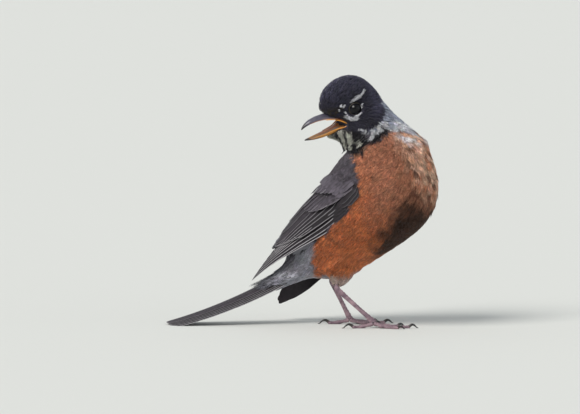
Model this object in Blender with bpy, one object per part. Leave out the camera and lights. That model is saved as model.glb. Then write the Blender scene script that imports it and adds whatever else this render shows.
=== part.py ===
"""American robin, life-size, standing and looking back over its right shoulder.

Metres, +Z up. The bird stands on z = 0, its chest towards +X and a little towards -Y,
its bill towards -X. The origin is on the floor, under the middle of its box. The plumage's outer surface is modelled as one body of smooth lofts,
which is then parted with thin cuts into head, neck, trunk, rump and thighs.
Wings and tail are inlaid plates, and bill, eyes, legs, toes and claws are solids of their own.
"""

import math
from dataclasses import dataclass

import bmesh
import bpy
from mathutils import Matrix, Vector
from mathutils.geometry import interpolate_bezier

MM = 0.001
CUT = 0.32 * MM  # gap between neighbouring solids

ORIGIN_SHIFT = (44.7 * MM, -1.5 * MM, 0.0)  # from between the feet to under the box's middle

# Pose
BODY_YAW = math.radians(27)  # chest turned from +X towards -Y
BODY_RISE = math.radians(51)  # back's slope above the floor
BODY_CENTRE = (-4.5 * MM, 0.0, 77.5 * MM)
HEAD_YAW = math.radians(24)  # bill turned from -X towards -Y
HEAD_PITCH = math.radians(16.5)  # bill below level
HEAD_ROLL = math.radians(8)  # crown leaning towards -Y
EYE_MIDDLE = (-15.9 * MM, -9.0 * MM, 144.9 * MM)  # between the two eyes

# Trunk stations: place along the back, middle towards the belly, half depth, half width (mm)
TRUNK = (
    (-65, -11.5, 3, 3),
    (-61, -10.8, 9, 8),
    (-54, -9.4, 18, 15.5),
    (-44, -7.2, 24.4, 21),
    (-30, -3.6, 28.0, 26),
    (-14, -0.6, 30.6, 29),
    (2, 2.3, 33.4, 30.5),
    (18, 4.4, 35.0, 31),
    (30, 4.4, 33.4, 30),
    (41, 3.4, 28.8, 26.5),
    (50, 1.6, 21.0, 21),
    (57, 0, 9, 9),
)
# Head stations: place ahead of the eyes, middle above them, half height, half width (mm)
HEAD = (
    (18.8, 0.2, 2.0, 2.0),
    (17.6, 1.6, 6.0, 4.6),
    (14.8, 2.8, 10.4, 7.2),
    (10.5, 3.6, 13.0, 9.0),
    (4, 3.8, 15.2, 10.6),
    (-3, 3.6, 15.8, 12.2),
    (-9, 2.4, 15.8, 13.6),
    (-14.5, 0.6, 14.4, 13.2),
    (-19.5, -2.0, 10.8, 10.8),
    (-23.5, -4, 5, 6),
)
CHIN = (
    (21.0, -14.9, 1.0, 2.2),
    (17, -14.0, 4.0, 4.6),
    (11, -14.0, 7.4, 7.0),
    (5, -15.0, 10.0, 9.4),
    (-2, -14.5, 11.0, 11.6),
    (-10, -12.0, 12.0, 12.6),
    (-17, -10.0, 6.0, 7.0),
)
# Neck: middles (mm) and half widths across the view from -Y, from the head down
NECK = (
    ((-5, -5, 147), 14.0),
    ((-3.5, -5.5, 138), 19.0),
    ((1.5, -6.5, 129), 23.0),
    ((8.0, -8.5, 119.5), 25.6),
    ((13.0, -10.5, 110), 26.2),
    ((15.0, -11.0, 101), 23.5),
)
THIGH_HALF_WIDTHS = (13.0, 12.6, 11.0, 8.0, 2.6)  # mm, from the belly to the heel

# Tail
TAIL_ROOT = (-38.0 * MM, 14.5 * MM, 42.8 * MM)
TAIL_LENGTH = 104 * MM
TAIL_SLOPES = (math.radians(34), math.radians(13.8))  # below level, at root and tip
TAIL_ROLLS = (math.radians(24), math.radians(5))  # right edge lowered, at root and tip
TAIL_HALF_WIDTHS = (6.0, 8.0, 10.5, 12.2, 13.0, 12.4)  # mm, from root to tip
TAIL_THICKNESS = (5.5, 1.4)  # mm, root and tip

# Wings: guide surface stations along the back: middle towards belly, half depth, half width (mm)
WING_GUIDE = (
    (-92, -12, 20, 22),
    (-80, -11, 21, 23.5),
    (-60, -8.5, 24, 25.5),
    (-40, -5, 27.5, 27.5),
    (-20, -0.5, 31, 29.5),
    (0, 3, 34, 31),
    (20, 3.6, 34.6, 31),
    (45, 2, 26, 26),
)

# Legs: toe lengths without claws and spread from the middle toe's way, by toe number
TOE_LENGTHS = {1: 13.0 * MM, 2: 16.5 * MM, 3: 22.5 * MM, 4: 17.0 * MM}
TOE_SPREADS = {1: 180.0, 2: 24.0, 3: 0.0, 4: -22.0}  # degrees, the inner toes positive on the left
CLAW_LENGTHS = {1: 8.0 * MM, 2: 5.6 * MM, 3: 6.6 * MM, 4: 5.4 * MM}
TARSUS_RADII = (2.3, 1.45, 1.2, 1.2, 1.5, 2.0)  # mm, heel to toes
TOE_RADIUS = 1.35 * MM
PAD_HEIGHT = 1.0 * MM  # toe's middle above the floor

EYE_RADIUS = 4.4 * MM
EYE_PLACE = (-1.4 * MM, 9.6 * MM, -1.5 * MM)  # ahead, sideways and up in the head's frame

MATERIALS = {
    "plumage_dark": ((0.035, 0.033, 0.038), 0.75),
    "plumage_grey": ((0.13, 0.12, 0.125), 0.75),
    "plumage_rufous": ((0.42, 0.13, 0.05), 0.8),
    "plumage_pale": ((0.6, 0.58, 0.55), 0.8),
    "flight_feather": ((0.05, 0.045, 0.048), 0.6),
    "bill_horn": ((0.35, 0.2, 0.06), 0.35),
    "leg_skin": ((0.16, 0.1, 0.09), 0.5),
    "claw_horn": ((0.03, 0.025, 0.025), 0.35),
    "eye_gloss": ((0.01, 0.006, 0.004), 0.05),
    "tongue_skin": ((0.5, 0.2, 0.1), 0.5),
}


@dataclass
class Frame:
    """An origin with three square unit directions."""

    origin: Vector
    x: Vector
    y: Vector
    z: Vector

    def at(self, x, y, z):
        return self.origin + self.x * x + self.y * y + self.z * z


def body_frame():
    """x along the back towards the neck, y towards the belly, z to the bird's left."""
    ahead = Vector((math.cos(BODY_YAW), -math.sin(BODY_YAW), 0))
    up = Vector((0, 0, 1))
    along = ahead * math.cos(BODY_RISE) + up * math.sin(BODY_RISE)
    belly = ahead * math.sin(BODY_RISE) - up * math.cos(BODY_RISE)
    return Frame(Vector(BODY_CENTRE), along, belly, up.cross(ahead))


def head_frame():
    """x towards the bill, y to the bird's left, z towards the crown."""
    level = Vector((-math.cos(HEAD_YAW), -math.sin(HEAD_YAW), 0))
    ahead = level * math.cos(HEAD_PITCH) - Vector((0, 0, 1)) * math.sin(HEAD_PITCH)
    crown = (Vector((0, 0, 1)) - ahead * ahead.z).normalized()
    left = crown.cross(ahead)
    rolled = crown * math.cos(HEAD_ROLL) + left * math.sin(HEAD_ROLL)
    return Frame(Vector(EYE_MIDDLE), ahead, rolled.cross(ahead), rolled)


def between(values, share):
    """Smooth value at a share of the way along evenly spaced values."""
    place = min(max(share, 0.0), 1.0) * (len(values) - 1)
    first = min(int(place), len(values) - 2)
    t = place - first
    p = [values[min(max(first + k, 0), len(values) - 1)] for k in (-1, 0, 1, 2)]
    return 0.5 * (
        2 * p[1]
        + (p[2] - p[0]) * t
        + (2 * p[0] - 5 * p[1] + 4 * p[2] - p[3]) * t * t
        + (3 * p[1] - p[0] - 3 * p[2] + p[3]) * t * t * t
    )


def at_station(stations, place):
    """Columns of a station table at a place between its first and last rows, in metres."""
    rows = sorted(stations)
    place = min(max(place, rows[0][0]), rows[-1][0])
    for low, high in zip(rows, rows[1:]):
        if place <= high[0]:
            t = (place - low[0]) / (high[0] - low[0])
            return [(a + (b - a) * t) * MM for a, b in zip(low[1:], high[1:])]
    return [value * MM for value in rows[-1][1:]]


def make_materials():
    made = {}
    for name, (colour, roughness) in MATERIALS.items():
        material = bpy.data.materials.new(name)
        material.use_nodes = True
        shader = material.node_tree.nodes["Principled BSDF"]
        shader.inputs["Base Color"].default_value = (*colour, 1)
        shader.inputs["Roughness"].default_value = roughness
        made[name] = material
    return made


def add_object(name, mesh, material=None):
    obj = bpy.data.objects.new(name, mesh)
    bpy.context.scene.collection.objects.link(obj)
    if material:
        mesh.materials.clear()
        mesh.materials.append(material)
    return obj


def loft(name, rings, material=None):
    """Closed solid through rings of equal count, capped at both ends."""
    bm = bmesh.new()
    rows = [[bm.verts.new(p) for p in ring] for ring in rings]
    count = len(rows[0])
    for low, high in zip(rows, rows[1:]):
        for k in range(count):
            n = (k + 1) % count
            bm.faces.new((low[k], low[n], high[n], high[k]))
    bm.faces.new(list(reversed(rows[0])))
    bm.faces.new(rows[-1])
    bmesh.ops.recalc_face_normals(bm, faces=bm.faces)
    bmesh.ops.triangulate(bm, faces=bm.faces)
    mesh = bpy.data.meshes.new(name)
    bm.to_mesh(mesh)
    bm.free()
    return add_object(name, mesh, material)


def ring(centre, across, up, half_across, half_up, count, square=1.0):
    """Points round an ellipse. A square over 1 flattens its sides."""
    points = []
    for k in range(count):
        angle = 2 * math.pi * k / count
        c, s = math.cos(angle), math.sin(angle)
        c = math.copysign(abs(c) ** (1 / square), c)
        s = math.copysign(abs(s) ** (1 / square), s)
        points.append(centre + across * (c * half_across) + up * (s * half_up))
    return points


def tube(name, path, radii, count, material=None):
    """Tube round a path, its ring at each point square to the path."""
    rings = []
    for k, point in enumerate(path):
        way = (path[min(k + 1, len(path) - 1)] - path[max(k - 1, 0)]).normalized()
        side = way.cross(Vector((0, 0, 1)))
        side = side.normalized() if side.length > 0.05 else Vector((0, 1, 0))
        up = side.cross(way)
        radius = between(radii, k / (len(path) - 1))
        rings.append(ring(point, side, up, radius, radius, count))
    return loft(name, rings, material)


def station_loft(name, frame, stations, count, swap=False):
    """Loft of ellipses across a frame's x, read from a station table."""
    places = [row[0] for row in sorted(stations)]
    steps = 26
    rings = []
    for k in range(steps + 1):
        place = between(places, k / steps)
        middle, half_a, half_b = at_station(stations, place)
        if swap:
            centre = frame.at(place * MM, 0, middle)
            rings.append(ring(centre, frame.y, frame.z, half_b, half_a, count))
        else:
            centre = frame.at(place * MM, middle, 0)
            rings.append(ring(centre, frame.y, frame.z, half_a, half_b, count))
    return loft(name, rings)


def evaluated_copy(obj, name, material=None):
    """New object holding the mesh as its modifiers leave it. The first one is removed."""
    graph = bpy.context.evaluated_depsgraph_get()
    mesh = bpy.data.meshes.new_from_object(obj.evaluated_get(graph))
    bpy.data.objects.remove(obj)
    return add_object(name, mesh, material)


def join_meshes(name, parts):
    bm = bmesh.new()
    for obj in parts:
        bm.from_mesh(obj.data)
        bpy.data.objects.remove(obj)
    mesh = bpy.data.meshes.new(name)
    bm.to_mesh(mesh)
    bm.free()
    return add_object(name, mesh)


def boolean(target, cutter, operation="DIFFERENCE", keep_cutter=False):
    """Applies a Boolean to target's mesh and removes the cutter unless it is kept."""
    modifier = target.modifiers.new("cut", "BOOLEAN")
    modifier.operation = operation
    modifier.object = cutter
    bpy.context.view_layer.update()
    graph = bpy.context.evaluated_depsgraph_get()
    mesh = bpy.data.meshes.new_from_object(target.evaluated_get(graph))
    target.modifiers.clear()
    target.data = mesh
    if not keep_cutter:
        bpy.data.objects.remove(cutter)


def keep_largest(obj):
    """Removes the crumbs a Boolean may leave beside an object's main shell."""
    bm = bmesh.new()
    bm.from_mesh(obj.data)
    left, shells = set(bm.verts), []
    while left:
        shell, edge = set(), [left.pop()]
        while edge:
            vert = edge.pop()
            shell.add(vert)
            near = [e.other_vert(vert) for e in vert.link_edges]
            edge.extend(v for v in near if v in left)
            left.difference_update(near)
        shells.append(shell)
    shells.sort(key=len)
    for shell in shells[:-1]:
        bmesh.ops.delete(bm, geom=list(shell), context="VERTS")
    bm.to_mesh(obj.data)
    bm.free()


def slab(name, centre, normal, thickness, half_size):
    """Square slab whose first face stands at centre and which grows along normal."""
    normal = normal.normalized()
    side = normal.orthogonal().normalized()
    other = normal.cross(side)
    rings = []
    for depth in (0, thickness):
        middle = centre + normal * depth
        rings.append(
            [
                middle + side * (sx * half_size) + other * (sy * half_size)
                for sx, sy in ((-1, -1), (1, -1), (1, 1), (-1, 1))
            ]
        )
    return loft(name, rings)


# Plumage -------------------------------------------------------------------------------


def tail_point(share):
    """Point on the tail's middle line and its way there. Share may run below 0, into the rump."""
    root = Vector(TAIL_ROOT)
    first, last = TAIL_SLOPES
    turn = (first - last) / TAIL_LENGTH
    run = share * TAIL_LENGTH
    slope = first - turn * run
    down = (math.cos(slope) - math.cos(first)) / turn
    out = (math.sin(first) - math.sin(slope)) / turn
    return root + Vector((-out, 0, -down)), Vector((-math.cos(slope), 0, -math.sin(slope)))


def tail_across(share):
    """The tail's unit directions to its left and to its upper side."""
    _, way = tail_point(share)
    roll = TAIL_ROLLS[0] + (TAIL_ROLLS[1] - TAIL_ROLLS[0]) * max(share, 0)
    level = Vector((0, 1, 0))
    left = level * math.cos(roll) + level.cross(way) * math.sin(roll)
    return left, left.cross(way)


def rump_rings(count):
    """From inside the trunk to the end of the tail coverts, bending to the tail's way."""
    body = body_frame()
    start = body.at(-26 * MM, -5 * MM, 0)
    root, way = tail_point(0.0)
    end, end_way = tail_point(0.32)
    path = interpolate_bezier(start, start - body.x * 14 * MM, root - way * 10 * MM, root, 8)
    path += [tail_point(share)[0] for share in (0.08, 0.16, 0.24, 0.32)]
    halves_up = (21, 19.5, 15.5, 10.5, 6.2, 3.6)
    halves_across = (22, 20.5, 17, 13.5, 11.0, 9.0)
    rings = []
    for k, point in enumerate(path):
        share = k / (len(path) - 1)
        left, upper = tail_across(0.0)
        blend = min(1.0, share / 0.6)
        across = (body.z * (1 - blend) + left * blend).normalized()
        way = (path[min(k + 1, len(path) - 1)] - path[max(k - 1, 0)]).normalized()
        across = (across - way * across.dot(way)).normalized()
        up = across.cross(way)
        half_up = between(halves_up, share) * MM
        middle = point - up * (half_up * 0.05)
        rings.append(ring(middle, across, up, between(halves_across, share) * MM, half_up, count))
    return rings


def neck_rings(count):
    """From inside the head down to the top of the trunk."""
    rings = []
    for k in range(11):
        share = k / 10
        point = Vector([between([row[0][axis] for row in NECK], share) for axis in range(3)]) * MM
        half = between([row[1] for row in NECK], share) * MM
        tilt = math.radians(30 * share)
        across = Vector((math.cos(tilt), 0, math.sin(tilt) * 0.6)).normalized()
        rings.append(ring(point, across, Vector((0, 1, 0)), half, half * 0.92, count))
    return rings


def leg_points(side):
    """Hip, knee, heel and toe root of a leg."""
    if side == "right":
        return (
            body_frame().at(-34 * MM, 8 * MM, -13 * MM),
            Vector((-17 * MM, -1.0 * MM, 36 * MM)),
            Vector((-23.0 * MM, -7.0 * MM, 26.5 * MM)),
            Vector((2.2 * MM, -11.0 * MM, 4.2 * MM)),
        )
    return (
        body_frame().at(-34 * MM, 8 * MM, 12 * MM),
        Vector((-20 * MM, 12.0 * MM, 39 * MM)),
        Vector((-25.5 * MM, 12.5 * MM, 30.0 * MM)),
        Vector((-13.0 * MM, 17.0 * MM, 4.2 * MM)),
    )


def thigh_rings(side, count):
    hip, knee, heel, _ = leg_points(side)
    path = interpolate_bezier(hip, hip + (knee - hip) * 0.6, knee, heel, 9)
    rings = []
    for k, point in enumerate(path):
        way = (path[min(k + 1, len(path) - 1)] - path[max(k - 1, 0)]).normalized()
        across = way.cross(Vector((0, 1, 0))).normalized()
        half = between(THIGH_HALF_WIDTHS, k / (len(path) - 1)) * MM
        rings.append(ring(point, across, way.cross(across), half, half, count))
    return rings


def make_plumage():
    """The whole feathered body as one smooth closed solid."""
    count = 28
    parts = [
        station_loft("trunk_form", body_frame(), TRUNK, count),
        station_loft("head_form", head_frame(), HEAD, count, swap=True),
        station_loft("chin_form", head_frame(), CHIN, count, swap=True),
        loft("neck_form", neck_rings(count)),
        loft("rump_form", rump_rings(count)),
        loft("thigh_form_right", thigh_rings("right", count)),
        loft("thigh_form_left", thigh_rings("left", count)),
    ]
    whole = join_meshes("whole_form", parts)
    remesh = whole.modifiers.new("remesh", "REMESH")
    remesh.mode = "VOXEL"
    remesh.voxel_size = 1.3 * MM
    smooth = whole.modifiers.new("smooth", "SMOOTH")
    smooth.factor = 0.5
    smooth.iterations = 24
    whole = evaluated_copy(whole, "whole")
    decimate = whole.modifiers.new("decimate", "DECIMATE")
    decimate.ratio = 2100 / sum(len(p.vertices) - 2 for p in whole.data.polygons)
    return evaluated_copy(whole, "whole")


# Wings ---------------------------------------------------------------------------------


def droop(side, along):
    """0 at the wrist to 1 at the tip of the wing that hangs lower, 0 all along the other."""
    share = min(max((-along) / 82, 0.0), 1.0)
    return share * share * (3 - 2 * share) if side == "left" else 0.0


def wing_point(side, along, angle, lift):
    """Point on the wing's guide surface. along in mm, angle in degrees from the flank up."""
    frame = body_frame()
    hang = droop(side, along)
    middle, half_depth, half_width = at_station(WING_GUIDE, along)
    half_width -= LEFT_TUCK * hang
    along -= LEFT_REACH / MM * hang
    a = math.radians(angle - LEFT_DROOP * hang)
    depth = -math.sin(a) * (half_depth + lift)
    width = math.cos(a) * (half_width + lift)
    return frame.at(along * MM, middle + depth, width if side == "left" else -width)


@dataclass
class WingPatch:
    """Part of a folded wing: edge angles by place along the back, and its thickness."""

    name: str
    places: tuple  # mm along the back, front to rear
    low: tuple  # lower edge, degrees from the flank up
    high: tuple  # upper edge, degrees
    lift: float  # outer face above the guide surface, mm
    depth: tuple  # thickness front and rear, mm


LEFT_DROOP = 50.0  # degrees the left wing's tip hangs lower
LEFT_TUCK = 10 * MM  # and stands nearer the midline
LEFT_REACH = 7 * MM  # and reaches further back
PRIMARY_LOW = (-2, 0, 4, 10, 22, 47)
PRIMARY_HIGH = (22, 26, 33, 42, 48, 50.5)
WING_PATCHES = (
    WingPatch("coverts", (37, 24, 8, -6, -19), (30, 12, 2, -3, -3), (52, 84, 86, 84, 74), 0.4, (4.2, 3.2)),
    WingPatch(
        "primaries", (-19.7, -32, -46, -60, -73, -85), PRIMARY_LOW, PRIMARY_HIGH, 0.3, (3.0, 1.0)
    ),
    WingPatch(
        "secondaries", (-19.7, -30, -40, -48, -55, -59), (24.5, 27, 31, 36, 44, 53), (74, 73, 72, 69, 64, 57), 0.7, (3.2, 1.2)
    ),
)


def wing_solid(name, side, patch, grow=0.0, out=0.0, material=None):
    """Closed curved plate. grow widens it all round and out raises its outer face, for a cutter."""
    steps_along, steps_across = 10, 4
    first, last = patch.places[0] + grow / MM, patch.places[-1] - grow / MM
    outer, inner = [], []
    for i in range(steps_along + 1):
        share = i / steps_along
        along = between(patch.places, share)
        along += (first - patch.places[0]) * (1 - share) + (last - patch.places[-1]) * share
        _, half_depth, _ = at_station(WING_GUIDE, along)
        widen = math.degrees(grow / half_depth)
        low = between(patch.low, share) - widen
        high = between(patch.high, share) + widen
        depth = patch.depth[0] + (patch.depth[1] - patch.depth[0]) * share
        rows_out, rows_in = [], []
        for j in range(steps_across + 1):
            angle = low + (high - low) * j / steps_across
            rows_out.append(wing_point(side, along, angle, patch.lift * MM + out))
            rows_in.append(wing_point(side, along, angle, (patch.lift - depth) * MM - grow))
        outer.append(rows_out)
        inner.append(rows_in)
    bm = bmesh.new()
    top = [[bm.verts.new(p) for p in row] for row in outer]
    low_grid = [[bm.verts.new(p) for p in row] for row in inner]
    for i in range(steps_along):
        for j in range(steps_across):
            bm.faces.new((top[i][j], top[i][j + 1], top[i + 1][j + 1], top[i + 1][j]))
            bm.faces.new(
                (low_grid[i][j], low_grid[i + 1][j], low_grid[i + 1][j + 1], low_grid[i][j + 1])
            )
        for j in (0, steps_across):
            bm.faces.new((top[i][j], top[i + 1][j], low_grid[i + 1][j], low_grid[i][j]))
    for i in (0, steps_along):
        for j in range(steps_across):
            bm.faces.new((top[i][j], top[i][j + 1], low_grid[i][j + 1], low_grid[i][j]))
    bmesh.ops.recalc_face_normals(bm, faces=bm.faces)
    bmesh.ops.triangulate(bm, faces=bm.faces)
    mesh = bpy.data.meshes.new(name)
    bm.to_mesh(mesh)
    bm.free()
    return add_object(name, mesh, material)


def make_wings(materials):
    made = []
    for side in ("right", "left"):
        for patch in WING_PATCHES:
            slot = "plumage_grey" if patch.name == "coverts" else "flight_feather"
            made.append(
                wing_solid(f"wing_{side}_{patch.name}", side, patch, material=materials[slot])
            )
    return made


# Tail ----------------------------------------------------------------------------------


def tail_solid(name, grow=0.0, material=None):
    """The twelve tail feathers closed to one plate, ridged along its middle, round at the tip."""
    steps = 14
    rings = []
    for k in range(steps + 1):
        share = k / steps
        run = share - (0.02 if grow else 0.0) * (1 - share)
        centre, _ = tail_point(run)
        left, upper = tail_across(run)
        half = between(TAIL_HALF_WIDTHS, share) * MM
        if share > 0.9:  # the rounded end
            half *= math.sqrt(max(0.0, 1 - ((share - 0.9) / 0.108) ** 2))
        half += grow
        thick = (TAIL_THICKNESS[0] + (TAIL_THICKNESS[1] - TAIL_THICKNESS[0]) * share) * MM
        ridge = thick * 0.5 + grow
        edge = thick * 0.18 + grow
        sag = half * 0.10
        rings.append(
            [
                centre + left * half - upper * (sag - edge),
                centre + left * (half * 0.5) + upper * (ridge * 0.8 - sag * 0.3),
                centre + upper * ridge,
                centre - left * (half * 0.5) + upper * (ridge * 0.8 - sag * 0.3),
                centre - left * half - upper * (sag - edge),
                centre - left * half - upper * (sag + edge),
                centre - left * (half * 0.5) - upper * (ridge * 0.8 + sag * 0.3),
                centre - upper * ridge,
                centre + left * (half * 0.5) - upper * (ridge * 0.8 + sag * 0.3),
                centre + left * half - upper * (sag + edge),
            ]
        )
    return loft(name, rings, material)


# Legs ----------------------------------------------------------------------------------


def foot_way(side):
    """Level direction of the middle toe."""
    turn = math.radians(-4 if side == "right" else 8)
    return Vector((math.cos(turn), math.sin(turn), 0))


def toe_way(side, toe):
    spread = math.radians(TOE_SPREADS[toe]) * (1 if side == "right" else -1)
    if toe == 1:
        spread += math.radians(14 if side == "right" else -6)
    ahead = foot_way(side)
    turned = Vector(
        (
            ahead.x * math.cos(spread) - ahead.y * math.sin(spread),
            ahead.x * math.sin(spread) + ahead.y * math.cos(spread),
            0,
        )
    )
    return turned


def flatten_below(obj):
    """Cuts away what lies below the floor, which leaves a flat."""
    floor = slab("floor_cut", Vector((0, 0, 0)), Vector((0, 0, -1)), 0.05, 0.5)
    boolean(obj, floor)


def toe_path(side, toe):
    """Points along a toe, from beside the toe root to its end, with knuckles."""
    root = leg_points(side)[3]
    way = toe_way(side, toe)
    start = root + way * 1.0 * MM
    length = TOE_LENGTHS[toe]
    points = []
    steps = 9
    for k in range(steps + 1):
        share = k / steps
        fall = (1 - share) ** 3
        height = PAD_HEIGHT * (1 - 0.12 * share) + (root.z - PAD_HEIGHT - 1.3 * MM) * fall
        points.append(Vector((start.x, start.y, 0)) + way * (length * share) + Vector((0, 0, height)))
    return points


def toe_solid(side, toe, material=None, grow=0.0):
    path = toe_path(side, toe)
    radii = []
    knuckles = {1: 2, 2: 2, 3: 3, 4: 4}[toe]
    for k in range(len(path)):
        share = k / (len(path) - 1)
        bulge = 0.10 * math.cos(2 * math.pi * knuckles * share)
        radii.append(TOE_RADIUS * (1.0 - 0.28 * share) * (1 + bulge) + grow)
    if grow:
        path[0] -= toe_way(side, toe) * grow
    return tube(f"toe_{side}_{toe}", path, radii, 8, material)


def claw_solid(side, toe, material):
    """Curved claw from the toe's end, its point just above the floor."""
    path = toe_path(side, toe)
    way = toe_way(side, toe)
    length = CLAW_LENGTHS[toe]
    start = path[-1] + way * (CUT + 0.2 * MM)
    points, radii = [], []
    steps = 7
    for k in range(steps + 1):
        share = k / steps
        rise = 0.22 * math.sin(math.pi * min(1.0, share * 1.25)) - 0.06 * share
        height = start.z + length * rise - (start.z - 0.75 * MM) * share * share
        points.append(
            Vector((start.x, start.y, 0)) + way * (length * 0.94 * share) + Vector((0, 0, height))
        )
        radii.append(TOE_RADIUS * 0.66 * (1 - share) ** 0.7 + 0.12 * MM)
    return tube(f"claw_{side}_{toe}", points, radii, 6, material)


def tarsus_solid(side, material=None, grow=0.0):
    _, _, heel, root = leg_points(side)
    way = (root - heel).normalized()
    path = [heel + (root - heel) * (k / 9) for k in range(10)]
    path[0] += way * (0.3 * MM - grow)
    path.append(root + way * 0.9 * MM)
    radii = [r * MM + grow for r in TARSUS_RADII]
    return tube(f"tarsus_{side}", path, radii, 10, material)


def make_legs(materials):
    """Tarsi, toes and claws. Where toes meet, the later one is cut back from the earlier."""
    for side in ("right", "left"):
        tarsus = tarsus_solid(side, materials["leg_skin"])
        done = []
        for toe in (3, 2, 4, 1):
            obj = toe_solid(side, toe, materials["leg_skin"])
            for other in done:
                boolean(obj, toe_solid(side, other, grow=CUT))
            boolean(tarsus, toe_solid(side, toe, grow=CUT))
            done.append(toe)
            flatten_below(obj)
            keep_largest(obj)
            claw = claw_solid(side, toe, materials["claw_horn"])
            flatten_below(claw)
        flatten_below(tarsus)
        keep_largest(tarsus)


# Head ----------------------------------------------------------------------------------


# Profiles in the head's midplane: place ahead of the eyes, height above them (mm)
UPPER_RIDGE = ((7.0, -4.6), (12.0, -1.6), (17.0, -0.7), (23.0, -0.7), (28.0, -1.5), (31.5, -3.1), (34.4, -5.6))
UPPER_EDGE = ((7.0, -7.2), (12.0, -5.2), (17.0, -3.9), (23.0, -3.5), (28.0, -3.9), (31.5, -4.9), (34.4, -6.4))
LOWER_EDGE = ((7.0, -11.1), (12.0, -11.9), (17.0, -12.5), (22.0, -12.9), (27.0, -13.1), (30.5, -13.2), (33.6, -13.4))
LOWER_KEEL = ((7.0, -13.0), (12.0, -14.6), (17.0, -15.4), (22.0, -15.6), (27.0, -15.2), (30.5, -14.6), (33.6, -14.0))
UPPER_HALF_WIDTHS = (5.6, 5.3, 4.7, 3.9, 2.8, 1.8, 0.5)
LOWER_HALF_WIDTHS = (5.4, 5.1, 4.5, 3.7, 2.6, 1.6, 0.5)
GAPE_CORNER = (3.9, -10.6)


def bill_solid(name, part, grow=0.0, material=None):
    """Half a bill with a rounded back, closed by a flat face towards the mouth."""
    head = head_frame()
    upper = part == "upper"
    back = UPPER_RIDGE if upper else LOWER_KEEL
    edge = UPPER_EDGE if upper else LOWER_EDGE
    widths = UPPER_HALF_WIDTHS if upper else LOWER_HALF_WIDTHS
    sign = 1 if upper else -1
    more = grow / MM
    steps = 9 if grow else 12
    rings = []
    for k in range(steps + 1):
        share = k / steps
        ahead = between([row[0] for row in back], share) + (more if k == steps else 0)
        ridge = between([row[1] for row in back], share) + sign * more
        mouth = between([row[1] for row in edge], share) - sign * more
        half = between(widths, share) + more
        height = abs(ridge - mouth)
        points = []
        for angle in (0, 22, 45, 68, 90, 112, 135, 158, 180):
            c, w = math.cos(math.radians(angle)), math.sin(math.radians(angle))
            points.append(head.at(ahead * MM, c * half * MM, (mouth + sign * w**0.8 * height) * MM))
        rings.append(points)
    return loft(name, rings, material)


def mouth_wedge(name):
    """The open mouth between the two halves of the bill, back to its corner."""
    head = head_frame()
    outline = [GAPE_CORNER, (8.5, -6.3), (17.0, -3.6), (36.0, -3.6), (36.0, -13.0), (17.0, -12.8), (10.0, -11.9)]
    rings = [[head.at(f * MM, side * 12 * MM, g * MM) for f, g in outline] for side in (-1, 1)]
    return loft(name, rings)


def tongue_solid(material):
    head = head_frame()
    rings = []
    for k in range(8):
        share = k / 7
        ahead = 11.0 + 14.0 * share
        floor = between([row[1] for row in LOWER_EDGE], (ahead - 7.0) / 26.6)
        half = 1.9 * (1 - share**2) ** 0.5 + 0.25
        thick = 0.55 * (1 - 0.5 * share)
        centre = head.at(ahead * MM, 0, (floor + CUT / MM + thick + 0.15 + 0.5 * share) * MM)
        rings.append(ring(centre, head.y, head.z, half * MM, thick * MM, 10))
    return loft("tongue", rings, material)


def eye_solid(name, side, radius, material=None):
    mesh = bpy.data.meshes.new(name)
    bm = bmesh.new()
    bmesh.ops.create_icosphere(bm, subdivisions=3 if material else 2, radius=radius)
    sign = 1 if side == "left" else -1
    ahead, sideways, up = EYE_PLACE
    bmesh.ops.translate(bm, verts=bm.verts, vec=head_frame().at(ahead, sign * sideways, up))
    bm.to_mesh(mesh)
    bm.free()
    return add_object(name, mesh, material)


# Parting -------------------------------------------------------------------------------


def copy_of(obj, name, material):
    return add_object(name, obj.data.copy(), material)


def part_plumage(whole, materials):
    """Parts the smooth body into its named nodes with thin cuts."""
    body, head = body_frame(), head_frame()
    big = 0.25
    head_cut = head.at(-15 * MM, 0, -13 * MM)
    head_normal = (head.z * 0.8 + head.x * 0.75).normalized()
    neck_cut = Vector((14 * MM, -11 * MM, 107.5 * MM))
    neck_normal = Vector((0.14, 0, 1)).normalized()
    rump_cut = body.at(-50 * MM, -10 * MM, 0)
    rump_normal = (-body.x - body.y * 0.45).normalized()

    def half_space(centre, normal):
        return slab("half_space", centre - normal * (CUT / 2), normal, big, big)

    nodes = {
        "head": copy_of(whole, "head", materials["plumage_dark"]),
        "neck": copy_of(whole, "neck", materials["plumage_grey"]),
        "trunk": copy_of(whole, "trunk", materials["plumage_rufous"]),
        "rump": copy_of(whole, "rump", materials["plumage_pale"]),
    }
    boolean(nodes["head"], half_space(head_cut, -head_normal))
    boolean(nodes["head"], half_space(neck_cut, -neck_normal))
    boolean(nodes["neck"], half_space(head_cut, head_normal))
    boolean(nodes["neck"], half_space(neck_cut, -neck_normal))
    boolean(nodes["trunk"], half_space(neck_cut, neck_normal))
    boolean(nodes["trunk"], half_space(rump_cut, rump_normal))
    boolean(nodes["rump"], half_space(rump_cut, -rump_normal))
    bpy.data.objects.remove(whole)
    return nodes


def part_thighs(nodes, materials):
    """Takes the feathered thighs off the trunk at a cut square to each."""
    for side in ("right", "left"):
        hip, knee, heel, _ = leg_points(side)
        way = (heel - knee).normalized()
        start = knee + way * 1.5 * MM
        thigh = copy_of(nodes["trunk"], f"thigh_{side}", materials["plumage_rufous"])
        path = [start + way * (k * 10 * MM) for k in range(3)]
        boolean(thigh, tube("keep", path, [9.5 * MM, 9.5 * MM], 16), "INTERSECT")
        boolean(thigh, tarsus_solid(side, grow=CUT))
        path[0] -= way * CUT
        boolean(nodes["trunk"], tube("cut", path, [9.5 * MM + CUT] * 2, 16))
        nodes[f"thigh_{side}"] = thigh


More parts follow.
